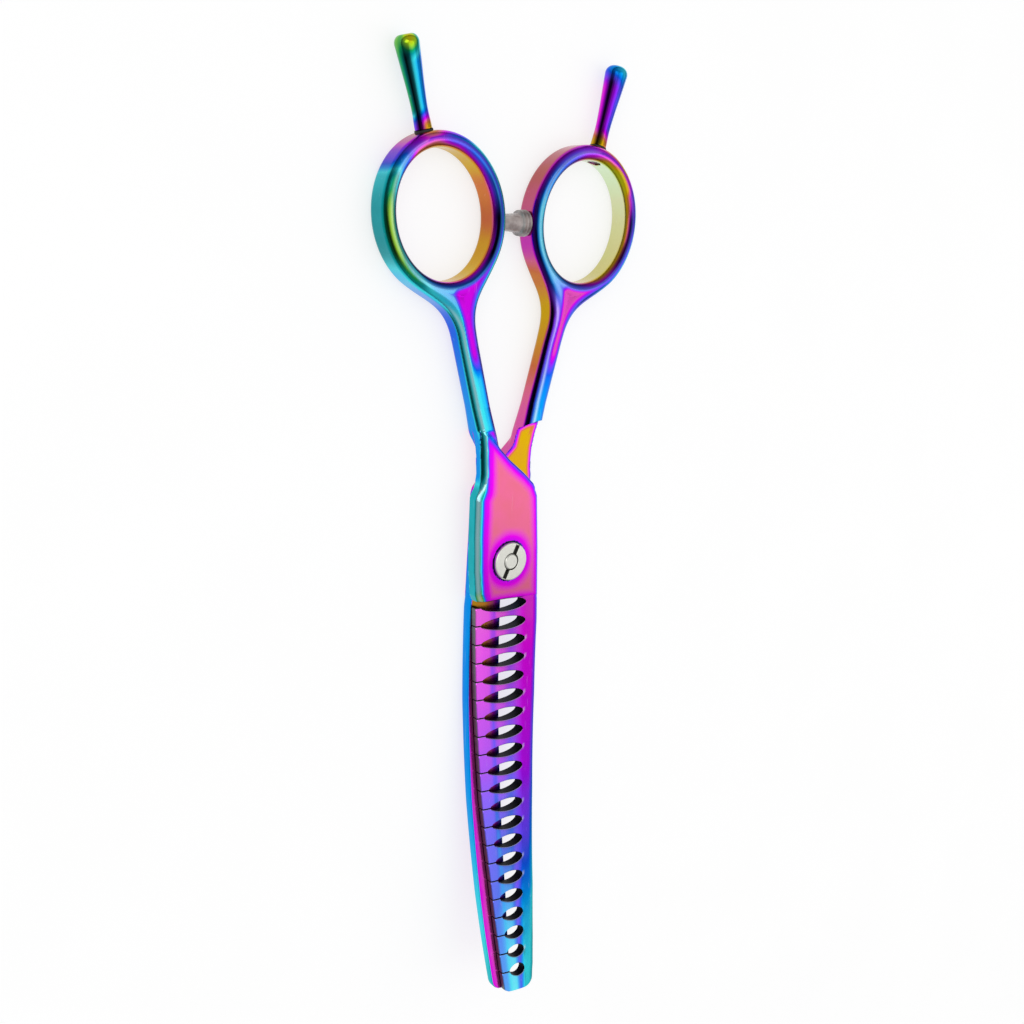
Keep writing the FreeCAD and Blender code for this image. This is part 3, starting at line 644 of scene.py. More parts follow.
def slope(field: Field, points: np.ndarray, reach: float) -> np.ndarray:
    """Gradient of a field at points, from the differences a short way each side.

    Args:
        field: the distance field.
        points: where the gradient is wanted.
        reach: the short way.

    Returns:
        Three numbers for each point.
    """
    parts = []
    for axis in range(3):
        step = np.zeros(3)
        step[axis] = reach
        parts.append((field(points + step) - field(points - step)) / (2.0 * reach))
    return np.stack(parts, -1)


def net(field: Field, low: Sequence[float], high: Sequence[float], step: float) -> Skin:
    """The closed surface where a distance field is zero.

    One point goes in each cell of a grid that the surface crosses, at the mean of the
    crossings on its edges, and one face across each grid edge that the surface cuts.  The
    points are then moved down the field's slope on to the surface.  It serves shapes that
    branch, such as a shank that opens into a ring, which no single sheet of two
    parameters follows.

    Args:
        field: distance at points, negative inside.
        low: lowest corner of the grid.
        high: highest corner of the grid.
        step: size of a cell.

    Returns:
        The skin, with the field's own normals.
    """
    axes = [np.arange(a, b + step, step) for a, b in zip(low, high)]
    grid = np.stack(np.meshgrid(*axes, indexing="ij"), -1)
    value = field(grid.reshape(-1, 3)).reshape(grid.shape[:3])
    cells = tuple(n - 1 for n in value.shape)
    total = np.zeros((*cells, 3))
    count = np.zeros(cells, np.int32)
    crossings = []
    for axis in range(3):
        first = np.take(value, np.arange(value.shape[axis] - 1), axis)
        second = np.take(value, np.arange(1, value.shape[axis]), axis)
        cut = (first < 0) != (second < 0)
        crossings.append((cut, first < 0))
        share = np.where(cut, first / np.where(cut, first - second, 1.0), 0.0)
        place = np.take(grid, np.arange(value.shape[axis] - 1), axis).copy()
        place[..., axis] += share * step
        others = [a for a in range(3) if a != axis]
        for i in (0, 1):
            for j in (0, 1):
                window = [slice(None)] * 3
                window[others[0]] = slice(i, i + cells[others[0]])
                window[others[1]] = slice(j, j + cells[others[1]])
                here = cut[tuple(window)]
                total += np.where(here[..., None], place[tuple(window)], 0.0)
                count += here
    active = count > 0
    points = total[active] / count[active][:, None]
    number = np.full(cells, -1, np.int64)
    number[active] = np.arange(len(points))
    quads = []
    for axis, (cut, inside) in enumerate(crossings):
        u, v = (axis + 1) % 3, (axis + 2) % 3
        inner = [slice(None)] * 3
        inner[u] = slice(1, value.shape[u] - 1)
        inner[v] = slice(1, value.shape[v] - 1)
        found = np.argwhere(cut[tuple(inner)])
        found[:, u] += 1
        found[:, v] += 1
        facing = inside[tuple(found.T)]
        corners = []
        for du, dv in ((1, 1), (0, 1), (0, 0), (1, 0)):
            cell = found.copy()
            cell[:, u] -= du
            cell[:, v] -= dv
            corners.append(number[tuple(cell.T)])
        faces = np.stack(corners, -1)
        quads.append(np.where(facing[:, None], faces, faces[:, ::-1]))
    for _ in range(5):
        lean = slope(field, points, 0.02)
        length = np.maximum((lean * lean).sum(1), 0.2)
        move = (field(points) / length)[:, None] * lean
        points = points - np.clip(move, -0.5 * step, 0.5 * step)
    normals = slope(field, points, 0.05)
    normals /= np.maximum(np.linalg.norm(normals, axis=1), 1e-9)[:, None]
    return Skin(points, np.concatenate(quads), {}, None, normals)


def turned_skin(profile: Sequence[tuple[float, float]], sides: int = 96) -> Skin:
    """A solid of revolution about +Z from (height, radius) points, closed at both ends.

    The point at parameters (angle, step) is radius(step) round the axis at height(step).

    Args:
        profile: the (height, radius) points, from the foot up.
        sides: number of points round the axis.

    Returns:
        The skin; its film runs from 0 at the foot to 1 at the top.
    """
    height, radius = np.array(profile).T
    angle = np.linspace(0.0, 2.0 * math.pi, sides, endpoint=False)
    x = radius[:, None] * np.cos(angle)
    y = radius[:, None] * np.sin(angle)
    z = np.broadcast_to(height[:, None], x.shape)
    points = np.stack([x, y, z], -1).reshape(-1, 3)
    along = np.broadcast_to(np.linspace(0.0, 1.0, len(height))[:, None], x.shape).ravel()
    quads = sheet_quads(len(height), sides, wrap=True)
    return Skin(points, quads, {"film": along.copy(), "shade": along * 0.0})


def smooth_profile(keys: Sequence[tuple[float, float]], count: int) -> np.ndarray:
    """A smooth line through (height, radius) keys: Hermite curves with the keys' mean slopes.

    Args:
        keys: the (height, radius) keys.
        count: number of points on the line.

    Returns:
        The line's (height, radius) points.
    """
    height, radius = np.array(keys).T
    tangent = np.gradient(radius, height)
    place = np.linspace(height[0], height[-1], count)
    index = np.clip(np.searchsorted(height, place, side="right") - 1, 0, len(height) - 2)
    span = height[index + 1] - height[index]
    t = (place - height[index]) / span
    first = (1 + 2 * t) * (1 - t) ** 2 * radius[index] + t * (1 - t) ** 2 * span * tangent[index]
    second = t * t * (3 - 2 * t) * radius[index + 1] + t * t * (t - 1) * span * tangent[index + 1]
    return np.stack([place, first + second], -1)


def stand(skin: Skin, base: Vector, axis: Vector) -> Skin:
    """Turn a skin made about +Z so that it stands on a base point along an axis.

    Args:
        skin: the skin, which is changed.
        base: where its foot goes.
        axis: the direction that it stands in.

    Returns:
        The same skin.
    """
    turn = np.array(Vector((0.0, 0.0, 1.0)).rotation_difference(axis.normalized()).to_matrix())
    skin.points = skin.points @ turn.T + np.array(base)
    return skin


# ---------------------------------------------------------------------------------------
# The halves' handles
# ---------------------------------------------------------------------------------------


@dataclass(frozen=True)
class FilmKeys:
    """How the film and its painted dark reflections and painted highlights lie on one handle.

    A section's angle runs from 0 at the wall that faces left or outward, through 0.5 at
    the top, to 1 at the wall that faces right or into the ring.  Each row of the ring's
    tables belongs to one direction round the ring, in degrees from +X.  The shank has one
    row of film for its upper end and one for its lower; the shade tables hold painted dark
    reflections.  web and web_edge are the film in the middle and at the edge of the flat
    between shank and ring, glint is the section's angle at which a painted highlight runs
    along the shank, and the last field is how far a painted highlight whitens the ring's
    inner edge.
    """

    shank_angles: tuple[float, ...]
    shank_high: tuple[float, ...]
    shank_low: tuple[float, ...]
    shank_shade: tuple[float, ...]
    ring_angles: tuple[float, ...]
    ring_turns: tuple[float, ...]
    ring_film: tuple[tuple[float, ...], ...]
    ring_shade: tuple[tuple[float, ...], ...]
    web: float
    web_edge: float
    glint: float
    inner_painted_highlight: float


def keyed(
    turns: Sequence[float],
    angles: Sequence[float],
    table: Sequence[Sequence[float]],
    turn: np.ndarray,
    angle: np.ndarray,
) -> np.ndarray:
    """A table's value between its rows and columns: eased between rows, linear along them.

    Args:
        turns: each row's direction round the ring, in degrees.
        angles: each column's angle of the section.
        table: the rows; after the last comes the first again, a turn further on.
        turn: directions of the places.
        angle: section angles of the places.

    Returns:
        One value for each place.
    """
    rows = np.array([*table, table[0]])
    stops = np.array([*turns, turns[0] + 360.0])
    turn = (turn - stops[0]) % 360.0 + stops[0]
    row = np.clip(np.searchsorted(stops, turn, side="right") - 1, 0, len(stops) - 2)
    share = (turn - stops[row]) / (stops[row + 1] - stops[row])
    share = share * share * (3.0 - 2.0 * share)
    columns = np.stack([np.interp(angle, angles, values) for values in rows])
    picked = np.arange(len(turn))
    return columns[row, picked] * (1.0 - share) + columns[row + 1, picked] * share


@dataclass
class HandleForging:
    """Finger ring, shank, neck and ricasso of one half: a single smooth forging.

    The outline is the ricasso's and the neck's in plan, and the four lines are the parts
    of it that are eased by different amounts.  bore is the radius of the hole through the
    pivot, and a seat is a recess round it, by its radius and the height of its floor.
    scoop is the arch below which the neck's inner side is cut away for the other half, by
    the x and y of its middle and its radius, and ramp_reach is the width over which that
    cut's floor slopes.  bar_end is the Y at which the shank's round bar ends in the neck.
    """

    name: str
    body: str
    node: str
    slot: str
    turned: bool
    ring_x: float
    ring_y: float
    outline: tuple[tuple[float, float], ...]
    spine_line: tuple[tuple[float, float], ...]
    far_line: tuple[tuple[float, float], ...]
    slant_line: tuple[tuple[float, float], ...]
    heel_line: tuple[tuple[float, float], ...]
    bore: float
    inner_seat: tuple[float, float]
    outer_seat: tuple[float, float]
    keys: FilmKeys
    neck_x: float = -5.64
    neck_y: float = 26.5
    hole_across: float = 10.75
    hole_along: float = 12.125
    wall: float = 3.0
    web_reach: float = 8.0
    lap: float = 0.1
    outer: float = 3.1
    scoop: tuple[float, float, float] = (-9.2, 16.2, 11.9)
    step: float = 0.25
    bar_end: float = 15.0
    ramp_reach: float = 0.9

    def __post_init__(self) -> None:
        """Work out the handle's direction from the neck to the ring."""
        self.lean = math.atan2(self.neck_x - self.ring_x, self.ring_y - self.neck_y)

    def handle_place(self, x: np.ndarray, y: np.ndarray) -> tuple[np.ndarray, np.ndarray]:
        """Distances across and along the handle, from the ring's centre.

        Args:
            x: places on X.
            y: places on Y.

        Returns:
            The distances across, and those along.
        """
        dx, dy = x - self.ring_x, y - self.ring_y
        across = dx * math.cos(self.lean) + dy * math.sin(self.lean)
        along = dy * math.cos(self.lean) - dx * math.sin(self.lean)
        return across, along

    def handle_plan(self, x: np.ndarray, y: np.ndarray) -> np.ndarray:
        """Plan distance to the handle: an oval joined to a bar by a fillet, less the finger hole.

        Args:
            x: places on X.
            y: places on Y.

        Returns:
            Distances, negative inside.
        """
        u, v = self.handle_place(x, y)
        rim = oval_distance(u, v, self.hole_across + self.wall, self.hole_along + self.wall)
        hole = oval_distance(u, v, self.hole_across, self.hole_along)
        width = np.interp(y, (20.0, 30.0, 48.0), (2.15, 2.1, 2.2))
        low = (self.ring_y - self.bar_end) / math.cos(self.lean)
        beyond = np.maximum(-low - v, 0.0) + np.maximum(v, 0.0)
        bar = np.hypot(u, beyond) - width
        return np.maximum(soft_min(rim, bar, self.web_reach), -hole)

    def shoulder(self, y: np.ndarray) -> np.ndarray:
        """Width of the rounded shoulder along the ricasso's inner edge; it narrows up the neck."""
        return np.interp(y, (14.0, 18.0), (1.6, 1.0))

    def ricasso_top(self, x: np.ndarray, y: np.ndarray) -> np.ndarray:
        """Height of the ricasso's outer face, eased down towards each of its edges.

        Near an edge it falls by fall (1 - d / width)^power, with d the distance to the edge.

        Args:
            x: places on X.
            y: places on Y.

        Returns:
            The face's Z.
        """
        left = line_distance(x, y, self.spine_line)
        right = line_distance(x, y, self.far_line)
        slant = line_distance(x, y, self.slant_line)
        heel = line_distance(x, y, self.heel_line)
        fall = 0.9 + 0.4 * rise(14.0, 18.0, y)
        top = self.outer - fall * np.clip(1.0 - left / (self.shoulder(y) + 0.05), 0.0, 1.0) ** 2.0
        top -= 0.55 * np.clip(1.0 - right / 1.0, 0.0, 1.0) ** 2.0
        top -= 0.3 * np.clip(1.0 - slant / 0.4, 0.0, 1.0) ** 1.6
        return top - 0.15 * np.clip(1.0 - heel / 0.2, 0.0, 1.0) ** 1.5

    def field(self, points: np.ndarray) -> np.ndarray:
        """Distance to the forging: rounded bar and ring, joined to the flat ricasso, with its cuts.

        The bar and the ring are their plan carried up with rounded corners.  A cut is the
        greater of the forging's distance and the tool's with its sign turned: the arch of
        the scoop, the bore, the two seats and the hole for the finger rest's stud.

        Args:
            points: places in the half's own frame.

        Returns:
            Distances, negative inside.
        """
        x, y, z = points.T
        plan = self.handle_plan(x, y)
        thick = np.interp(y, (20.0, 26.0, 32.0, 44.0, 56.0), (2.9, 3.05, 2.6, 2.5, 2.92))
        thick = thick - 0.35 * rise(1.6, 4.8, -plan) * rise(40.0, 50.0, y)
        edge = np.interp(y, (20.0, 30.0, 46.0, 56.0), (2.0, 1.95, 1.8, 1.45))
        bar = eased(plan + edge, np.abs(z) - thick + edge, edge)
        plate = outline_distance(x, y, self.outline)
        plate = soft_max(plate, z - self.ricasso_top(x, y), 0.15)
        plate = np.maximum(plate, self.lap - z)
        solid = np.maximum(soft_min(bar, plate, 0.5), np.abs(z) - self.outer)
        sx, sy, reach = self.scoop
        round_cut = np.hypot(x - sx, y - sy) - reach
        depth = -soft_min(round_cut, y - sy, 0.5)
        ramp = np.clip((self.ramp_reach - depth) / self.ramp_reach, 0.0, 1.6)
        floor = self.lap - 3.3 * ramp**1.5
        solid = soft_max(solid, np.where(depth > -2.0, floor - z, -5.0), 0.12)
        axis = np.hypot(x, y)
        solid = np.maximum(solid, self.bore - axis)
        seat_radius, seat_low = self.outer_seat
        solid = np.maximum(solid, -np.maximum(axis - seat_radius, seat_low - z))
        pocket_radius, pocket_high = self.inner_seat
        if pocket_radius:
            solid = np.maximum(solid, -np.maximum(axis - pocket_radius, z - pocket_high))
        u, v = self.handle_place(x, y)
        stud = np.maximum(np.hypot(u, z) - 1.3, -v)
        return np.maximum(solid, -stud)

    def film(self, points: np.ndarray, normals: np.ndarray) -> tuple[np.ndarray, np.ndarray, np.ndarray]:
        """Film, painted shade and pale, a painted highlight, at points of the model's frame, from
        where they face and where they lie.

        Args:
            points: places in the model's frame.
            normals: the way that each faces.

        Returns:
            The three numbers of each point.
        """
        keys = self.keys
        hand = -1.0 if self.turned else 1.0
        x, y = points[:, 0] * hand, points[:, 1]
        u, v = self.handle_place(x, y)
        across = np.array([math.cos(self.lean), math.sin(self.lean)])
        if self.turned:
            across = np.array([math.cos(self.lean), -math.sin(self.lean)])
        sideways = -(normals[:, :2] @ across)
        section = np.arctan2(normals[:, 2], sideways) / math.pi
        section = np.where(section < -0.5, section + 2.0, section)
        high = np.interp(section, keys.shank_angles, keys.shank_high)
        low = np.interp(section, keys.shank_angles, keys.shank_low)
        up = rise(28.0, 50.0, y)
        film = low * (1.0 - up) + high * up
        # shade is a painted dark reflection along the shank's rounding, and further on along the ring's
        shade = np.interp(section, keys.shank_angles, keys.shank_shade)
        ring_x = self.ring_x * hand
        ox = (points[:, 0] - ring_x) / self.hole_across**2
        oy = (y - self.ring_y) / self.hole_along**2
        length = np.maximum(np.hypot(ox, oy), 1e-6)
        outward = (normals[:, 0] * ox + normals[:, 1] * oy) / length
        ring_section = np.arctan2(normals[:, 2], outward) / math.pi
        ring_section = np.where(ring_section < -0.5, ring_section + 2.0, ring_section)
        turn = np.degrees(np.arctan2(y - self.ring_y, points[:, 0] - ring_x))
        ring_film = keyed(keys.ring_turns, keys.ring_angles, keys.ring_film, turn, ring_section)
        ring_shade = keyed(keys.ring_turns, keys.ring_angles, keys.ring_shade, turn, ring_section)
        ring_share = 1.0 - rise(0.0, 4.0, oval_distance(u, v, self.hole_across + 3.0, self.hole_along + 3.0))
        film = film * (1.0 - ring_share) + ring_film * ring_share
        shade = shade * (1.0 - ring_share) + ring_shade * ring_share
        # pale is a painted highlight: a bright line along the shank at the glint's angle, a band along the
        # ring's top and a lighter inner edge
        pale = 0.4 * np.exp(-(((section - keys.glint) / 0.045) ** 2)) * (1.0 - ring_share)
        lit = np.interp(turn % 360.0, (60.0, 130.0, 260.0, 300.0), (0.1, 0.2, 0.2, 0.1))
        pale += lit * np.exp(-(((ring_section - 0.5) / 0.07) ** 2)) * ring_share
        inner_edge = keys.inner_painted_highlight * rise(0.85, 0.97, ring_section) * ring_share
        pale += inner_edge * np.interp(turn, (-60.0, 0.0, 60.0), (0.5, 0.8, 1.4))
        plan = -self.handle_plan(x, y) * (1.0 + 1.1 * rise(-2.4, -0.4, u * hand))
        flat = rise(1.9, 2.6, plan) * rise(37.0, 43.0, y) * rise(0.3, 0.85, normals[:, 2])
        flat = flat * rise(1.0, 2.0, oval_distance(u, v, self.hole_across, self.hole_along))
        core = rise(2.6, 4.2, plan)
        film = film * (1.0 - flat) + (keys.web_edge + (keys.web - keys.web_edge) * core) * flat
        # a little painted shade dims the web's flat
        shade = shade * (1.0 - flat) + 0.18 * flat
        pale = pale * (1.0 - flat)
        film, shade = self.ricasso_film(points, normals, film, shade)
        return film, shade, pale

    def ricasso_film(
        self, points: np.ndarray, normals: np.ndarray, film: np.ndarray, shade: np.ndarray
    ) -> tuple[np.ndarray, np.ndarray]:
        """Film on the flats round the pivot; each half has its own.

        Args:
            points: places in the model's frame.
            normals: the way that each faces.
            film: the handle's film so far.
            shade: the handle's shade so far.

        Returns:
            Film and shade with the flats' own laid over them.
        """
        return film, shade

    def build(self, finish: bpy.types.Material) -> bpy.types.Object:
        """Make the piece, set it on its body and hide the CAD half that it stands for.

        Args:
            finish: the half's film.

        Returns:
            The new piece.
        """
        low = (self.ring_x - 15.6, -9.6, -3.4)
        high = (max(x for x, _ in self.outline) + 0.7, self.ring_y + 16.2, 3.4)
        skin = net(self.field, low, high, self.step)
        if self.turned:
            over = np.array([-1.0, 1.0, -1.0])
            skin.points = skin.points * over
            skin.normals = skin.normals * over
        film, shade, pale = self.film(skin.points, skin.normals)
        skin.numbers = {"film": film, "shade": shade, "pale": pale}
        made = skin.lay(self.name, [finish])
        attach(made, self.body)
        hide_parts(self.node)
        return made


class FrontHandle(HandleForging):
    """The toothed half's handle, whose ricasso carries the nut."""

    def ricasso_film(
        self, points: np.ndarray, normals: np.ndarray, film: np.ndarray, shade: np.ndarray
    ) -> tuple[np.ndarray, np.ndarray]:
        """Rose in the middle of the face, then magenta, violet, blue and aqua down to a teal wall.

        Args:
            points: places in the model's frame.
            normals: the way that each faces.
            film: the handle's film so far.
            shade: the handle's shade so far.

        Returns:
            Film and shade, with the front ricasso's laid over them.
        """
        x, y, z = points.T
        left = line_distance(x, y, self.spine_line)
        right = np.minimum(line_distance(x, y, self.far_line), line_distance(x, y, self.slant_line))
        heel = line_distance(x, y, self.heel_line)
        shoulder = self.shoulder(y)
        middle = np.minimum(left - shoulder, np.minimum(right, heel + 0.6))
        middle = np.minimum(middle, (np.hypot(x, y) - 4.0) * 0.8 + 0.2)
        face = 0.24 - 0.125 * rise(0.0, 3.0, middle)
        over = np.interp(left - shoulder, (-1.6, -0.75, -0.6, -0.45, -0.3, -0.15, 0.0, 0.2, 0.5),
                         (0.665, 0.69, 0.75, 0.62, 0.56, 0.44, 0.34, 0.27, 0.21))
        face = np.where(left < shoulder + 0.5, np.maximum(face, over), face)
        rim = np.interp(right, (0.0, 0.35, 0.7, 1.1), (0.46, 0.40, 0.30, 0.205))
        face = np.where(right < 1.1, np.maximum(face, rim), face)
        corner = rise(2.6, 0.6, np.hypot(x + 6.9, y + 7.6))
        wall = rise(0.55, 0.2, normals[:, 2])
        left_wall = wall * rise(0.2, 0.6, -normals[:, 0])
        face = face + corner * 0.12 * (left < 1.2)
        face = face * (1.0 - wall) + wall * np.where(normals[:, 0] < 0, 0.665, 0.45)
        # line is a painted dark reflection along the rounding of the ricasso's left wall
        line = rise(0.05, 0.22, normals[:, 2]) * rise(0.62, 0.3, normals[:, 2]) * left_wall
        band = np.interp(y, (15.0, 18.0), (0.0, 1.05))
        on_plate = rise(0.4, 0.12, np.abs(z - self.ricasso_top(x, y))) * rise(-0.1, 0.1, left - band)
        share = np.maximum(rise(18.0, 15.0, y), on_plate * rise(27.6, 26.8, y))
        lapped = rise(0.0, -0.5, normals[:, 2]) * (y < 27.0)
        film = film * (1.0 - share) + face * share
        shade = shade * (1.0 - share) + share * line * 0.35
        # painted shade on the heel's end wall, which faces away from the rings
        heel_wall = rise(0.5, 0.8, -normals[:, 1]) * (y < -7.0)
        return film * (1.0 - lapped) + 0.15 * lapped, np.maximum(shade, heel_wall * 0.93)


class RearHandle(HandleForging):
    """The plain half's handle, whose neck shows as a scooped flat."""

    def ricasso_film(
        self, points: np.ndarray, normals: np.ndarray, film: np.ndarray, shade: np.ndarray
    ) -> tuple[np.ndarray, np.ndarray]:
        """Gold on the scooped flat, ringed by rose, magenta and violet towards its rim.

        Args:
            points: places in the model's frame.
            normals: the way that each faces.
            film: the handle's film so far.
            shade: the handle's shade so far.

        Returns:
            Film and shade, with the rear neck's laid over them.
        """
        x, y, z = points.T
        sx, sy, reach = self.scoop
        rim = reach - np.hypot(x + sx, y - sy) - 0.75
        rim = np.where(y < sy, 6.0, rim)
        side = -np.minimum(self.handle_plan(-x, y), outline_distance(-x, y, self.outline))
        inner = np.minimum(rim, side)
        face = np.interp(inner, (0.0, 0.2, 0.5, 0.85, 1.25), (0.42, 0.30, 0.20, 0.09, 0.01))
        share = rise(0.1, 0.4, normals[:, 2]) * rise(-0.5, -0.2, rim) * rise(2.0, 1.2, z)
        film = film * (1.0 - share) + face * share
        shade = shade * (1.0 - share)
        low = rise(16.0, 12.0, y)
        wall = rise(0.5, 0.1, np.abs(normals[:, 2])) * low
        outer = rise(-0.3, -0.7, normals[:, 2]) * low
        film = film * (1.0 - wall) + 0.52 * wall
        film = film * (1.0 - outer) + 0.16 * outer
        return film, shade * (1.0 - np.maximum(wall, outer))


FRONT_KEYS = FilmKeys(
    shank_angles=(-0.5, -0.1, 0.02, 0.07, 0.11, 0.15, 0.2, 0.3, 0.45, 0.57, 0.68, 0.8, 1.5),
    shank_high=(0.36, 0.40, 0.46, 0.52, 0.62, 0.66, 0.62, 0.60, 0.59, 0.50, 0.42, 0.32, 0.30),
    shank_low=(0.50, 0.50, 0.52, 0.66, 0.70, 0.70, 0.64, 0.61, 0.60, 0.52, 0.42, 0.32, 0.30),
    shank_shade=(0.0, 0.0, 0.0, 0.1, 0.95, 0.9, 0.1, 0.0, 0.0, 0.0, 0.15, 0.55, 0.4),
    ring_angles=(-0.5, 0.0, 0.1, 0.2, 0.3, 0.4, 0.5, 0.6, 0.7, 0.8, 0.9, 1.0, 1.5),
    ring_turns=(-60.0, -30.0, 0.0, 30.0, 60.0, 85.0, 104.0, 120.0, 138.0, 155.0, 180.0, 210.0, 235.0, 262.0),
    ring_film=(
        (0.50, 0.50, 0.50, 0.50, 0.52, 0.54, 0.52, 0.46, 0.34, 0.20, 0.03, 0.00, 0.00),
        (0.58, 0.60, 0.62, 0.62, 0.62, 0.62, 0.58, 0.44, 0.32, 0.18, 0.06, 0.02, 0.00),
        (0.60, 0.62, 0.62, 0.64, 0.64, 0.64, 0.60, 0.46, 0.36, 0.26, 0.12, 0.07, 0.02),
        (0.60, 0.62, 0.62, 0.62, 0.62, 0.62, 0.58, 0.46, 0.36, 0.26, 0.10, 0.06, 0.02),
        (0.40, 0.44, 0.56, 0.60, 0.60, 0.56, 0.52, 0.44, 0.34, 0.20, 0.02, 0.00, 0.00),
        (0.20, 0.22, 0.26, 0.30, 0.38, 0.48, 0.46, 0.34, 0.20, 0.10, 0.01, 0.00, 0.00),
        (0.00, 0.02, 0.03, 0.06, 0.10, 0.14, 0.16, 0.12, 0.06, 0.02, 0.00, 0.00, 0.00),
        (0.10, 0.14, 0.22, 0.26, 0.28, 0.30, 0.26, 0.14, 0.06, 0.02, 0.10, 0.20, 0.20),
        (0.30, 0.34, 0.38, 0.42, 0.46, 0.50, 0.52, 0.46, 0.40, 0.30, 0.20, 0.20, 0.20),
        (0.58, 0.64, 0.66, 0.68, 0.70, 0.74, 0.72, 0.60, 0.50, 0.40, 0.30, 0.20, 0.20),
        (0.64, 0.67, 0.69, 0.72, 0.80, 0.85, 0.84, 0.70, 0.50, 0.40, 0.30, 0.20, 0.20),
        (0.64, 0.67, 0.69, 0.72, 0.80, 0.86, 0.82, 0.66, 0.50, 0.40, 0.30, 0.20, 0.20),
        (0.50, 0.56, 0.62, 0.66, 0.74, 0.78, 0.66, 0.60, 0.50, 0.44, 0.36, 0.30, 0.30),
        (0.44, 0.50, 0.56, 0.60, 0.60, 0.58, 0.54, 0.48, 0.40, 0.30, 0.12, 0.02, 0.02),
    ),
    ring_shade=(
        (0.0, 0.0, 0.0, 0.0, 0.0, 0.0, 0.2, 0.7, 0.6, 0.2, 0.0, 0.0, 0.0),
        (0.0, 0.0, 0.0, 0.0, 0.0, 0.1, 0.8, 1.0, 1.0, 0.6, 0.2, 0.1, 0.1),
        (0.0, 0.0, 0.0, 0.0, 0.0, 0.2, 0.9, 1.0, 1.0, 0.9, 0.3, 0.2, 0.2),
        (0.0, 0.0, 0.0, 0.0, 0.0, 0.0, 0.3, 0.8, 0.5, 0.1, 0.0, 0.0, 0.0),
        (0.0, 0.0, 0.0, 0.0, 0.0, 0.0, 0.0, 0.1, 0.1, 0.0, 0.0, 0.0, 0.0),
        (0.0, 0.0, 0.0, 0.0, 0.0, 0.0, 0.0, 0.0, 0.1, 0.0, 0.0, 0.0, 0.0),
        (0.3, 0.3, 0.2, 0.2, 0.1, 0.0, 0.0, 0.2, 0.1, 0.0, 0.0, 0.0, 0.0),
        (0.4, 0.4, 0.3, 0.3, 0.4, 0.3, 0.1, 0.0, 0.0, 0.3, 0.5, 0.4, 0.4),
        (0.35, 0.35, 0.3, 0.5, 0.4, 0.0, 0.0, 0.0, 0.2, 0.6, 0.6, 0.4, 0.4),
        (0.2, 0.2, 0.25, 0.7, 0.8, 0.1, 0.0, 0.2, 0.6, 0.7, 0.6, 0.4, 0.4),
        (0.25, 0.25, 0.3, 0.8, 1.0, 0.3, 0.0, 0.3, 0.8, 0.8, 0.6, 0.4, 0.4),
        (0.25, 0.25, 0.3, 0.7, 1.0, 0.4, 0.0, 0.2, 0.8, 0.8, 0.6, 0.4, 0.4),
        (0.0, 0.0, 0.0, 0.0, 0.3, 0.1, 0.0, 0.1, 0.8, 0.8, 0.6, 0.4, 0.4),
        (0.0, 0.0, 0.0, 0.0, 0.0, 0.0, 0.0, 0.4, 0.8, 0.5, 0.1, 0.0, 0.0),
    ),
    web=0.225,
    web_edge=0.34,
    glint=0.3,
    inner_painted_highlight=0.0,
)

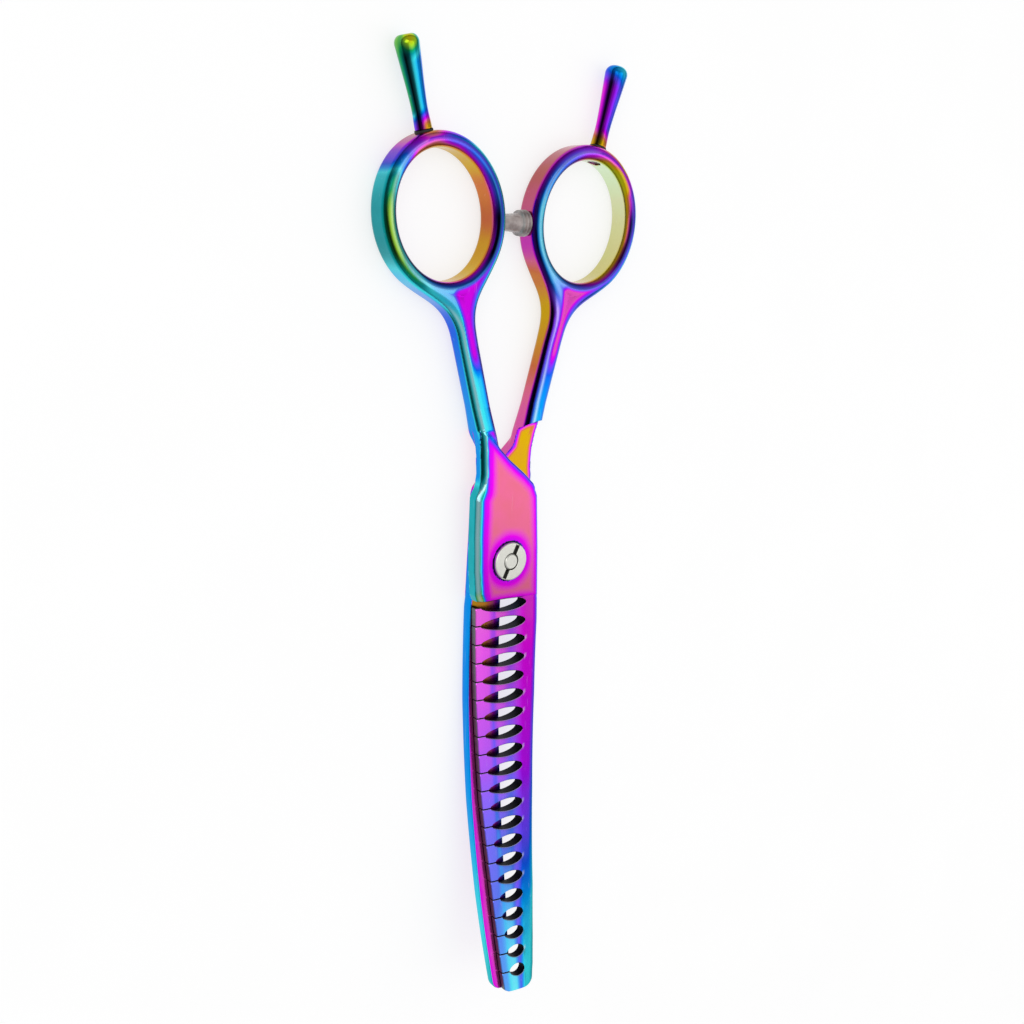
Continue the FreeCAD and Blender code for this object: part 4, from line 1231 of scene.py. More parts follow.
REAR_KEYS = FilmKeys(
    shank_angles=(-0.5, -0.1, 0.02, 0.08, 0.13, 0.18, 0.24, 0.3, 0.38, 0.5, 0.62, 0.75, 1.5),
    shank_high=(0.00, 0.00, 0.01, 0.12, 0.22, 0.28, 0.32, 0.33, 0.31, 0.34, 0.44, 0.48, 0.50),
    shank_low=(0.14, 0.13, 0.14, 0.22, 0.28, 0.34, 0.40, 0.46, 0.56, 0.53, 0.48, 0.50, 0.56),
    shank_shade=(0.1, 0.1, 0.1, 0.45, 0.95, 1.0, 1.0, 0.55, 0.0, 0.0, 0.0, 0.0, 0.2),
    ring_angles=(-0.5, 0.0, 0.1, 0.2, 0.3, 0.4, 0.5, 0.6, 0.7, 0.8, 0.9, 1.0, 1.5),
    ring_turns=(-65.0, -35.0, 0.0, 24.0, 34.0, 48.0, 64.0, 90.0, 115.0, 140.0, 172.0, 200.0, 228.0, 255.0),
    ring_film=(
        (0.44, 0.46, 0.48, 0.50, 0.50, 0.50, 0.48, 0.30, 0.12, 0.02, -0.03, -0.04, -0.04),
        (0.44, 0.48, 0.50, 0.52, 0.54, 0.54, 0.52, 0.30, 0.10, 0.00, -0.04, -0.05, -0.05),
        (0.44, 0.46, 0.50, 0.52, 0.52, 0.50, 0.48, 0.36, 0.14, 0.02, -0.05, -0.06, -0.06),
        (0.40, 0.42, 0.46, 0.48, 0.46, 0.42, 0.32, 0.18, 0.06, 0.00, -0.06, -0.07, -0.07),
        (0.24, 0.28, 0.32, 0.32, 0.28, 0.16, 0.06, 0.00, -0.03, -0.05, -0.08, -0.10, -0.10),
        (-0.08, -0.04, -0.02, -0.02, 0.00, 0.00, -0.02, -0.04, -0.06, -0.08, -0.10, -0.12, -0.12),
        (-0.04, 0.00, 0.00, 0.04, 0.10, 0.16, 0.18, 0.10, 0.00, -0.08, -0.12, -0.14, -0.14),
        (0.08, 0.12, 0.18, 0.24, 0.28, 0.32, 0.32, 0.26, 0.20, 0.10, 0.00, -0.10, -0.10),
        (0.08, 0.10, 0.16, 0.24, 0.32, 0.38, 0.42, 0.42, 0.40, 0.30, 0.20, 0.10, 0.10),
        (0.08, 0.09, 0.14, 0.24, 0.36, 0.46, 0.50, 0.50, 0.46, 0.40, 0.30, 0.20, 0.20),
        (0.09, 0.12, 0.20, 0.30, 0.42, 0.54, 0.58, 0.56, 0.50, 0.44, 0.36, 0.30, 0.30),
        (0.12, 0.17, 0.24, 0.32, 0.42, 0.54, 0.58, 0.56, 0.50, 0.44, 0.36, 0.30, 0.30),
        (0.03, 0.06, 0.16, 0.28, 0.40, 0.52, 0.55, 0.54, 0.50, 0.44, 0.36, 0.30, 0.30),
        (0.00, 0.00, 0.08, 0.22, 0.32, 0.42, 0.44, 0.44, 0.40, 0.30, 0.10, 0.00, 0.00),
    ),
    ring_shade=(
        (0.0, 0.0, 0.0, 0.0, 0.0, 0.0, 0.1, 0.5, 0.7, 0.2, 0.0, 0.0, 0.0),
        (0.0, 0.0, 0.0, 0.0, 0.0, 0.1, 0.5, 1.0, 0.9, 0.2, 0.0, 0.0, 0.0),
        (0.0, 0.0, 0.0, 0.0, 0.0, 0.2, 0.8, 1.0, 0.8, 0.2, 0.0, 0.0, 0.0),
        (0.0, 0.0, 0.0, 0.0, 0.0, 0.0, 0.2, 0.5, 0.2, 0.0, 0.0, 0.0, 0.0),
        (0.0, 0.0, 0.0, 0.0, 0.0, 0.0, 0.0, 0.1, 0.1, 0.0, 0.0, 0.0, 0.0),
        (0.1, 0.1, 0.1, 0.0, 0.0, 0.0, 0.0, 0.1, 0.1, 0.0, 0.0, 0.0, 0.0),
        (0.2, 0.2, 0.1, 0.0, 0.0, 0.0, 0.0, 0.0, 0.1, 0.0, 0.0, 0.0, 0.0),
        (0.2, 0.2, 0.2, 0.2, 0.1, 0.0, 0.0, 0.1, 0.3, 0.3, 0.2, 0.2, 0.2),
        (0.35, 0.35, 0.4, 0.6, 0.5, 0.1, 0.0, 0.1, 0.4, 0.6, 0.5, 0.4, 0.4),
        (0.35, 0.35, 0.4, 0.6, 0.8, 0.2, 0.0, 0.1, 0.5, 0.8, 0.8, 0.5, 0.5),
        (0.3, 0.3, 0.5, 0.9, 1.0, 0.5, 0.0, 0.1, 0.5, 0.8, 0.8, 0.5, 0.5),
        (0.3, 0.3, 0.5, 0.9, 1.0, 0.5, 0.0, 0.1, 0.5, 0.8, 0.8, 0.5, 0.5),
        (0.1, 0.1, 0.3, 0.8, 0.9, 0.4, 0.0, 0.1, 0.5, 0.8, 0.8, 0.5, 0.5),
        (0.1, 0.1, 0.2, 0.4, 0.4, 0.1, 0.0, 0.2, 0.6, 0.6, 0.2, 0.0, 0.0),
    ),
    web=0.155,
    web_edge=0.34,
    glint=0.38,
    inner_painted_highlight=0.4,
)


# ---------------------------------------------------------------------------------------
# The blades
# ---------------------------------------------------------------------------------------


@dataclass(frozen=True)
class Bend:
    """The blades' common curve out of their plane: z = R - sqrt(R^2 - (s - start)^2)."""

    radius: float
    start: float = 9.5

    def at(self, s: np.ndarray) -> np.ndarray:
        """Rise at a distance s from the pivot."""
        past = np.maximum(s - self.start, 0.0)
        return self.radius - np.sqrt(self.radius**2 - past**2)


@dataclass
class ToothedBlade:
    """The thinning blade: teeth parted by leaf-shaped gullets that open in fine slits."""

    bend: Bend
    end: float
    lap: float = 0.1
    first_gullet: float = 9.485
    pitch: float = 4.019
    gullets: int = 21
    slit: float = 0.125
    ease: float = 0.12
    root: float = 7.6

    def tip_x(self, s: np.ndarray) -> np.ndarray:
        """Where the teeth end."""
        return np.interp(s, (9.0, 12.0, 30.0, 52.0, 70.0, 85.0, 95.0),
                         (-7.0, -6.9, -6.4, -5.5, -4.3, -3.65, -3.2))

    def spine_x(self, s: np.ndarray) -> np.ndarray:
        """The spine's outer wall."""
        return np.interp(s, (7.0, 10.0, 14.0, 30.0, 52.0, 73.0, 84.0, 95.0),
                         (8.2, 8.42, 8.6, 8.45, 7.63, 6.5, 5.4, 4.0))

    def leaf_left(self, s: np.ndarray) -> np.ndarray:
        """Where a leaf meets its slit."""
        return -5.9 + 4.0 * np.clip((s - 11.0) / 75.0, 0.0, 1.1)

    def leaf_right(self, s: np.ndarray) -> np.ndarray:
        """The rounded end of a leaf."""
        return 5.05 - 2.75 * ((s - 20.0) / 66.0) ** 2

    def thickness(self, s: np.ndarray) -> np.ndarray:
        """Thickness at the land."""
        return np.interp(s, (8.0, 30.0, 52.0, 73.0, 95.0), (2.95, 2.7, 2.5, 2.2, 1.95))

    def leaf_width(self, t: np.ndarray, s: np.ndarray) -> np.ndarray:
        """Half of a leaf's width: pointed towards the slit, (1 - q^1.6)^0.62, and round at the far end.

        Args:
            t: place along the leaf, 0 at its slit and 1 at its round end.
            s: the gullet's distance from the pivot.

        Returns:
            Half widths; q falls from 1 at the slit to 0 where the leaf is widest.
        """
        left = np.clip((0.54 - t) / 0.54, 0.0, 1.0)
        right = np.clip((t - 0.54) / 0.46, 0.0, 1.0)
        share = np.where(t < 0.54, (1.0 - left**1.6) ** 0.62, np.sqrt(1.0 - right**2))
        widest = 1.42 - 0.1 * np.clip((s - 10.0) / 80.0, 0.0, 1.0)
        return share * widest

    def end_s(self, x: np.ndarray) -> np.ndarray:
        """The blunt rounded end of the blade across its width.

        Args:
            x: places across the blade.

        Returns:
            The end's distance from the pivot at each.
        """
        corner = np.clip((x - 1.6) / 2.6, 0.0, 1.0)
        near = np.clip((-1.9 - x) / 1.5, 0.0, 1.0)
        return self.end - 2.0 * corner**2.4 - 0.7 * near**2

    def skin(self) -> Skin:
        """Lay out every tooth at once.

        A point's parameters are its tooth, its place between the tooth's two gullets and
        its column from the tooth's tip to the spine.  Columns bunch at the ends of a leaf,
        and a gullet's half width pushes the tooth's edges away from the gullet's line.

        Returns:
            The closed skin, one solid from the root to the blunt end.
        """
        leaf = (1.0 - np.cos(np.linspace(0.0, math.pi, 23))) / 2.0
        tips, lands, turns = 4, 4, 7
        zone = np.concatenate([np.zeros(tips), leaf[1:], np.ones(lands + turns + 1)])
        kinds = len(zone)
        gullet_columns = tips - 1 + len(leaf)
        rows = np.array([0.0, 0.0, 0.2, 0.5, 0.8, 1.0, 1.0])
        places = rows[None, :, None]
        chamfer = np.array([0.0, 1.0, 1.0, 1.0, 1.0, -1.0, 0.0])
        tooth = np.arange(-1, self.gullets)[:, None, None]
        line = self.first_gullet + self.pitch * tooth
        nominal = line + self.pitch * places
        nominal = np.maximum(nominal, self.root)
        nominal = np.broadcast_to(nominal, (self.gullets + 1, len(rows), kinds))
        column = np.arange(kinds)
        tip, spine = self.tip_x(nominal), self.spine_x(nominal)
        left, right = self.leaf_left(nominal), self.leaf_right(nominal)
        thick = self.thickness(nominal)
        crown = 0.95 - 0.25 * np.clip((nominal - 10.0) / 80.0, 0.0, 1.0)
        x_tip = tip + (left - tip) * np.clip((column - 2.0) / (tips - 2.0), 0.0, 1.0)
        x_leaf = left + (right - left) * zone
        land_share = np.clip((column - gullet_columns + 1.0) / lands, 0.0, 1.0)
        x_land = right + (spine - crown - right) * land_share
        arc = np.clip((column - gullet_columns - lands + 1.0) / turns, 0.0, 1.0) * math.pi / 2.0
        x_turn = spine - crown * (1.0 - np.sin(arc))
        x = np.where(column < tips, x_tip, np.where(column < gullet_columns, x_leaf, x_land))
        x = np.where(column >= gullet_columns + lands - 1, x_turn, x)
        x = np.where(column == 1, tip, np.where(column == 2, tip + self.ease, x))
        tooth_height = 1.4 - 0.25 * np.clip((nominal - 10.0) / 80.0, 0.0, 1.0)
        share = np.clip((x - tip) / (right - tip), 0.0, 1.0)
        top = tooth_height + (thick - tooth_height) * (1.0 - (1.0 - share) ** 1.45)
        top = np.where(column >= gullet_columns + lands - 1, thick - crown * (1.0 - np.cos(arc)), top)
        top = np.where(column == 1, top - self.ease, top)
        top = np.where((column == 0) | (column == kinds - 1), 0.0, top)
        above = np.where(tooth >= 0, self.leaf_width(zone, line), 0.0)
        above = np.maximum(above, np.where(column < gullet_columns - 1, self.slit, 0.0))
        below = self.leaf_width(zone, line + self.pitch)
        below = np.maximum(below, np.where(column < gullet_columns - 1, self.slit, 0.0))
        first = line + above
        last = line + self.pitch - below
        last = np.where(tooth == self.gullets - 1, self.end_s(x), last)
        first = np.where(tooth < 0, self.root, first)
        blunt_end = (tooth == self.gullets - 1) & (places > 0.5)
        open_edge = (column < gullet_columns - 1) | blunt_end
        bevel = np.where(open_edge, self.ease, 0.0) * np.minimum(1.0, np.maximum(above, below) / 0.3)
        end_bevel = np.where(blunt_end, self.ease, bevel)
        inset = chamfer[None, :, None] * end_bevel
        s = first + (last - first) * places
        edge_row = np.array([False, True, False, False, False, True, False])[None, :, None]
        s = np.where(edge_row, s + inset, s)
        drop = np.where((chamfer == 0.0)[None, :, None], end_bevel, 0.0)
        upper_z = np.maximum(top - drop, 0.0)
        lift = self.lap + self.bend.at(s) + np.where(tooth < 0, 0.03, 0.0)
        upper = np.stack([x + 0.0 * s, -s, lift + upper_z], -1)
        lower = np.stack([x + 0.0 * s, -s, lift + 0.0 * upper_z], -1)
        keep = np.ones((self.gullets + 1, kinds), bool)
        keep[0] = column >= tips - 1 + 12
        return self.faces(upper, lower, keep, gullet_columns, nominal)

    def faces(
        self,
        upper: np.ndarray,
        lower: np.ndarray,
        keep: np.ndarray,
        gullet_columns: int,
        nominal: np.ndarray,
    ) -> Skin:
        """Join the outer and lap sheets by walls round each tooth, and say how the film lies.

        Args:
            upper: points of the outer sheet, by tooth, row and column.
            lower: points of the lap sheet, in the same order.
            keep: which columns each tooth has; the first has only the land beside the root.
            gullet_columns: number of columns that lie along a gullet and its slit.
            nominal: each point's distance from the pivot before the gullets part the teeth.

        Returns:
            The closed skin.  Material 0 is the film, 1 the ground tips, 2 the gullets' walls,
            which are painted near black as shade.
        """
        teeth, rows, kinds = upper.shape[:3]
        number = np.arange(teeth * rows * kinds).reshape(teeth, rows, kinds)
        under = number + number.size
        quads, paints = [], []

        def sheet(
            grid: np.ndarray, allowed: np.ndarray, flip: bool, slot: int = 0, tip_slot: int = 0
        ) -> None:
            """Faces between neighbouring points of a (teeth, rows, columns) grid.

            Args:
                grid: the points' numbers.
                allowed: which faces each tooth has, by column.
                flip: whether the faces look the other way.
                slot: the faces' material.
                tip_slot: the material of the first column's faces.
            """
            corners = [grid[:, :-1, :-1], grid[:, :-1, 1:], grid[:, 1:, 1:], grid[:, 1:, :-1]]
            made = np.stack(corners, -1)
            allowed = np.broadcast_to(allowed[:, None, :], made.shape[:3])
            made = made[allowed]
            first = np.broadcast_to(np.arange(grid.shape[2] - 1), allowed.shape)[allowed]
            quads.append(made if flip else made[:, ::-1])
            paints.append(np.where(first == 0, tip_slot, slot))

        between = keep[:, :-1] & keep[:, 1:]
        sheet(number, between, False, tip_slot=1)
        sheet(under, between, True)
        for row, flip in ((0, False), (rows - 1, True)):
            pair = np.stack([number[:, row], under[:, row]], 1)
            wall = between & (np.arange(kinds - 1) < gullet_columns - 1)
            if row == 0:
                wall[0] = between[0]
            else:
                wall[-1] = True
            sheet(pair, wall, flip, 2, 2)
        side = int(np.argmax(keep[0]))
        edge = np.stack([number[0, :, side], under[0, :, side]], 0)[None]
        sheet(edge, np.ones((1, rows - 1), bool), True)
        points = np.concatenate([upper.reshape(-1, 3), lower.reshape(-1, 3)])
        film, pale = self.film(nominal, upper, rows)
        numbers = {
            "film": np.concatenate([film.ravel(), np.full(film.size, 0.42)]),
            # the lap sheet carries a little painted shade
            "shade": np.concatenate([np.zeros(film.size), np.full(film.size, 0.2)]),
            "pale": np.concatenate([pale.ravel(), np.zeros(film.size)]),
        }
        return Skin(points, np.concatenate(quads), numbers, np.concatenate(paints))

    def film(self, nominal: np.ndarray, upper: np.ndarray, rows: int) -> tuple[np.ndarray, np.ndarray]:
        """Magenta at the root that turns violet and aqua towards the tip, with a streak along the
        teeth and painted highlights over the teeth and along their edges.

        Args:
            nominal: each point's distance from the pivot before the gullets part the teeth.
            upper: points of the outer sheet, by tooth, row and column.
            rows: number of rows on a tooth.

        Returns:
            Film, and pale for the painted highlight, at each point.
        """
        x = upper[..., 0]
        tip, spine, far = self.tip_x(nominal), self.spine_x(nominal), self.leaf_right(nominal)
        stations = (8.0, 25.0, 45.0, 62.0, 78.0, 95.0)
        land = np.interp(nominal, stations, (0.18, 0.215, 0.26, 0.38, 0.54, 0.62))
        teeth = np.interp(nominal, stations, (0.18, 0.205, 0.28, 0.42, 0.54, 0.60))
        share = rise(0.7, 1.0, (x - tip) / (far - tip))
        film = teeth * (1.0 - share) + land * share
        across = (x - tip) / (far - tip)
        late = rise(50.0, 80.0, nominal)
        streaks = np.interp(across, (0.0, 0.26, 0.34, 0.42, 0.55, 0.7, 0.85, 1.0),
                            (0.0, 0.01, 0.12, 0.0, 0.01, 0.09, 0.03, 0.0))
        cool = np.interp(across, (0.0, 0.2, 0.32, 0.6, 0.8, 1.0), (-0.10, -0.08, 0.0, 0.0, -0.18, 0.0))
        film = film + streaks * (1.0 - late) + cool * late
        over = rise(1.6, 0.1, spine - x)
        film = film * (1.0 - over) + (0.46 + 0.2 * rise(30.0, 90.0, nominal)) * over
        # pale is a painted highlight: a light sheen over the teeth, and a bright rim along the gullets' edge
        # rows
        pale = 0.1 * (1.0 - share) * (1.0 - streaks * 4.0)
        edges = np.array([row in (0, rows - 1) for row in range(rows)])[None, :, None]
        rim = np.where(edges, 0.55, 0.0) * (x < far + 0.3)
        return film, np.maximum(pale, rim) * (1.0 - 0.8 * over)

    def build(self, finishes: Sequence[bpy.types.Material]) -> bpy.types.Object:
        """Make the blade and set it on the toothed half.

        Args:
            finishes: the film, the ground tips' steel and the gullet walls' steel, painted near
                black as shade.

        Returns:
            The new piece.
        """
        made = self.skin().lay("toothed_blade", finishes, 35.0)
        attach(made, "toothed")
        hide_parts("toothed_half")
        return made


@dataclass
class PlainBlade:
    """The straight-edged rear blade: flat lap face, rounded spine and a long bevel."""

    bend: Bend
    end: float
    lap: float = -0.1
    root: float = 7.0
    edge_thickness: float = 0.28

    def spine_x(self, s: np.ndarray) -> np.ndarray:
        """The spine's outer wall."""
        return -np.interp(s, (7.0, 10.0, 30.0, 52.0, 73.0, 83.0, 95.0), (6.9, 7.24, 7.5, 7.3, 6.6, 6.05, 5.2))

    def edge_x(self, s: np.ndarray) -> np.ndarray:
        """The cutting edge."""
        return np.interp(s, (7.0, 54.0, 66.0, 74.0, 82.0, 95.0), (0.5, 0.5, 0.37, 0.3, -0.1, -0.75))

    def build(self, finish: bpy.types.Material) -> bpy.types.Object:
        """Carry the section along the bent path, one row to a step and one column to a place round it.

        Args:
            finish: the half's film.

        Returns:
            The new piece.
        """
        body = np.linspace(self.root, self.end - 2.6, 90)
        nose = self.end - 2.6 * np.cos(np.linspace(0.0, math.pi / 2.0, 12))[1:]
        s = np.concatenate([body, nose])[:, None]
        nose_share = np.sqrt(np.clip(1.0 - np.clip((s - self.end + 2.6) / 2.6, 0.0, 1.0) ** 3.4, 0.0, 1.0))
        spine = self.edge_x(s) + (self.spine_x(s) - self.edge_x(s)) * (0.3 + 0.7 * nose_share)
        edge = self.edge_x(s) - 0.9 * (1.0 - nose_share)
        thick = np.interp(s, (7.0, 30.0, 60.0, 95.0), (2.75, 2.55, 2.3, 1.9))
        corner = np.interp(s, (7.0, 95.0), (0.8, 0.6))
        arc = np.linspace(0.0, math.pi / 2.0, 8)
        lip = 0.16
        flat_end = spine + (edge - spine) * 0.42
        shares = tuple(np.linspace(0.0, 0.96, 25))
        xs = [edge + (spine - edge) * share for share in shares]
        zs = [0.0 * s for _ in shares]
        xs += [spine + lip * (1.0 - math.sin(a)) for a in arc[::2]]
        zs += [-lip * (1.0 - math.cos(a)) + 0.0 * s for a in arc[::2]]
        xs += [spine + corner * (1.0 - math.cos(a)) for a in arc]
        zs += [-thick + corner * (1.0 - math.sin(a)) for a in arc]
        xs += [flat_end, edge]
        zs += [-thick, -self.edge_thickness + 0.0 * s]
        x, z = np.concatenate(xs, 1), np.concatenate(zs, 1)
        z = z + self.lap + self.bend.at(s)
        points = np.stack([x, np.broadcast_to(-s, x.shape), z], -1)
        rows, columns = x.shape
        quads = sheet_quads(rows, columns, wrap=True)
        caps = []
        for row in (0, rows - 1):
            ring = np.arange(columns) + row * columns
            one, other = ring[: columns // 2], ring[::-1][: columns // 2]
            cap = np.stack([one[:-1], one[1:], other[1:], other[:-1]], -1)
            caps.append(cap if row else cap[:, ::-1])
        quads = np.concatenate([quads, *caps])
        width = (x - spine) / np.maximum(edge - spine, 1e-3)
        tips = np.interp(s, (9.0, 30.0, 52.0, 70.0, 85.0, 95.0), (7.0, 6.4, 5.5, 4.3, 3.65, 3.2))
        strip = (-spine - tips) / (edge - spine)
        hidden = rise(0.0, 0.04, width - strip)
        lap_film = 0.21 - 0.07 * np.clip(width / np.maximum(strip, 0.05), 0.0, 1.0)
        under = np.interp(width, (0.0, 0.5, 0.75, 0.9, 1.0), (0.02, 0.04, 0.13, 0.30, 0.44))
        under = under + 0.08 * rise(20.0, 90.0, s)
        lap_film = lap_film * (1.0 - hidden) + under * hidden
        wall_film = np.interp(s, (10.0, 30.0, 45.0, 60.0, 80.0, 95.0),
                              (0.51, 0.50, 0.51, 0.54, 0.60, 0.66)) + 0.0 * x
        on_lap = np.arange(columns) < len(shares)
        film = np.where(on_lap, lap_film, wall_film)
        film[:, -2:] = 0.16
        # painted shade on the lap where the toothed blade's teeth cover it, deeper towards the cutting edge
        shade = np.where(on_lap, hidden * (0.15 + 0.6 * rise(0.4, 0.85, width)), 0.0) + 0.0 * x
        skin = Skin(points.reshape(-1, 3), quads, {"film": film.ravel(), "shade": shade.ravel()})
        made = skin.lay("plain_blade", [finish], 30.0)
        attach(made, "plain")
        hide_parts("plain_half")
        return made


# ---------------------------------------------------------------------------------------
# Small fittings
# ---------------------------------------------------------------------------------------


@dataclass
class TensionNut:
    """The round slotted nut, with a bore that the bolt's end stands in."""

    low: float
    high: float
    radius: float
    slot_angle: float = math.radians(63.7)
    slot_half: float = 0.5
    slot_depth: float = 0.8
    bore: float = 1.8
    ease: float = 0.3

    def field(self, points: np.ndarray) -> np.ndarray:
        """Distance to an eased disc less its bore and its slot.

        Args:
            points: places in the model's frame.

        Returns:
            Distances, negative inside.
        """
        x, y, z = points.T
        middle, half = (self.low + self.high) / 2.0, (self.high - self.low) / 2.0
        axis = np.hypot(x, y)
        disc = eased(axis - self.radius + self.ease, np.abs(z - middle) - half + self.ease, self.ease)
        beside = np.abs(-x * math.sin(self.slot_angle) + y * math.cos(self.slot_angle)) - self.slot_half
        cut = np.maximum(beside, self.high - self.slot_depth - z)
        return soft_max(np.maximum(disc, self.bore - axis), -cut, 0.06)

    def build(self, finish: bpy.types.Material) -> bpy.types.Object:
        """Make the nut; its slot is painted darker with depth, as shade.

        Args:
            finish: the nut's steel.

        Returns:
            The new piece.
        """
        reach = self.radius + 0.3
        skin = net(self.field, (-reach, -reach, self.low - 0.2), (reach, reach, self.high + 0.2), 0.09)
        depth = self.high - skin.points[:, 2]
        near = np.hypot(skin.points[:, 0], skin.points[:, 1])
        # painted shade in the slot, darker with depth
        shade = rise(0.1, 0.6, depth) * 0.9 * (near < self.radius - 0.25)
        skin.numbers = {"shade": shade, "film": depth * 0.0}
        made = skin.lay("tension_nut_disc", [finish])
        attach(made, "tension_adjuster")
        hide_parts("tension_nut")
        return made


@dataclass
class FingerRest:
    """A flared rest that screws into the ring, with its stud through the ring's wall.

    films holds the rest's film near its foot, along its middle and near its tip, each by
    the direction that the side faces, and shades the painted dark reflection in the same
    directions.
    """

    name: str
    node: str
    body: str
    slot: str
    base: Vector
    axis: Vector
    length: float
    films: tuple[tuple[float, ...], tuple[float, ...], tuple[float, ...]]
    shades: tuple[float, ...]

    def build(self, finish: bpy.types.Material) -> bpy.types.Object:
        """Turn the profile: stud, base, waist and flared tip with a rounded end.

        Args:
            finish: the rests' film.

        Returns:
            The new piece.
        """
        top = self.length
        keys = ((0.0, 1.62), (0.8, 1.6), (3.2, 1.5), (7.0, 1.66), (11.0, 1.98), (top - 1.5, 2.28))
        flare = smooth_profile(keys, 48)
        arc = np.linspace(0.0, math.pi / 2.0, 12)
        dome = [(top - 1.5 + 1.5 * math.sin(a), 1.0 + 1.28 * math.cos(a)) for a in arc[1:]]
        stud = [(-3.15, 0.0), (-3.15, 1.0), (-3.0, 1.15), (-0.45, 1.15), (-0.45, 1.2), (-0.3, 1.2)]
        foot = [(0.0, 1.2), (0.0, 1.5), (0.12, 1.62)]
        profile = [*stud, *foot, *flare[1:].tolist(), *dome, (top, 0.5), (top, 0.0)]
        skin = turned_skin(profile)
        height = skin.points[:, 2].copy()
        flat = skin.points.copy()
        skin = stand(skin, self.base, self.axis)
        turn = np.array(Vector((0.0, 0.0, 1.0)).rotation_difference(self.axis.normalized()).to_matrix())
        outward = np.stack([flat[:, 0], flat[:, 1], 0.0 * height], -1) @ turn.T
        section = np.arctan2(outward[:, 2], -outward[:, 0]) / math.pi
        section = np.where(section < -0.5, section + 2.0, section)
        angles = (-0.5, 0.0, 0.12, 0.2, 0.3, 0.42, 0.55, 0.75, 1.5)
        low, middle, high = (np.interp(section, angles, row) for row in self.films)
        rise_low, rise_high = rise(0.5, 4.0, height), rise(top - 5.0, top - 0.5, height)
        film = (low * (1.0 - rise_low) + middle * rise_low) * (1.0 - rise_high) + high * rise_high
        # painted dark reflection by the direction that the side faces, fading out towards the tip
        shade = np.interp(section, angles, self.shades) * rise(top + 0.5, top - 4.0, height)
        # the stud inside the ring's wall is painted near black as shade
        skin.numbers = {"film": film, "shade": np.where(height < -0.1, 0.95, shade)}
        made = skin.lay(self.name, [finish], 50.0)
        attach(made, self.body)
        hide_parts(self.node)
        return made


@dataclass
class Bumper:
    """The soft stop between the rings: a ribbed flange and a cone that meets the other ring."""

    root: Vector
    tip: Vector

    def build(self, finish: bpy.types.Material) -> bpy.types.Object:
        """Turn the profile along the line from one ring to the other.

        Args:
            finish: the bumper's silicone.

        Returns:
            The new piece.
        """
        axis = self.tip - self.root
        length = axis.length
        t = np.linspace(0.0, 1.0, 90)
        ribs = 2.3 + 0.28 * np.cos(t * length / 0.82 * 2.0 * math.pi + math.pi)
        cone = 2.05 - 0.5 * t
        share = rise(1.9, 2.3, t * length)
        radius = ribs * (1.0 - share) + cone * share
        body = np.stack([t * length, radius], -1)[2:-4]
        end = [(length - 0.12, 1.42), (length, 1.15), (length, 0.0)]
        profile = [(0.0, 0.0), (0.0, 1.9), *body.tolist(), *end]
        made = stand(turned_skin(profile, 72), self.root, axis).lay("bumper_stop", [finish], 50.0)
        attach(made, "plain")
        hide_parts("bumper")
        return made


# ---------------------------------------------------------------------------------------
# Studio
# ---------------------------------------------------------------------------------------


@dataclass(frozen=True)
class Lamp:
    """A soft square light: where it is, what it points at, how wide and how strong."""

    name: str
    place: tuple[float, float, float]
    aim: tuple[float, float, float]
    width: float
    height: float
    power: float

    def build(self) -> None:
        """Hang the light."""
        data = bpy.data.lights.new(self.name, "AREA")
        data.shape = "RECTANGLE"
        data.size, data.size_y, data.energy = self.width, self.height, self.power
        lamp = bpy.data.objects.new(self.name, data)
        lamp.location = self.place
        direction = Vector(self.aim) - Vector(self.place)
        lamp.rotation_euler = direction.to_track_quat("-Z", "Y").to_euler()
        bpy.context.scene.collection.objects.link(lamp)


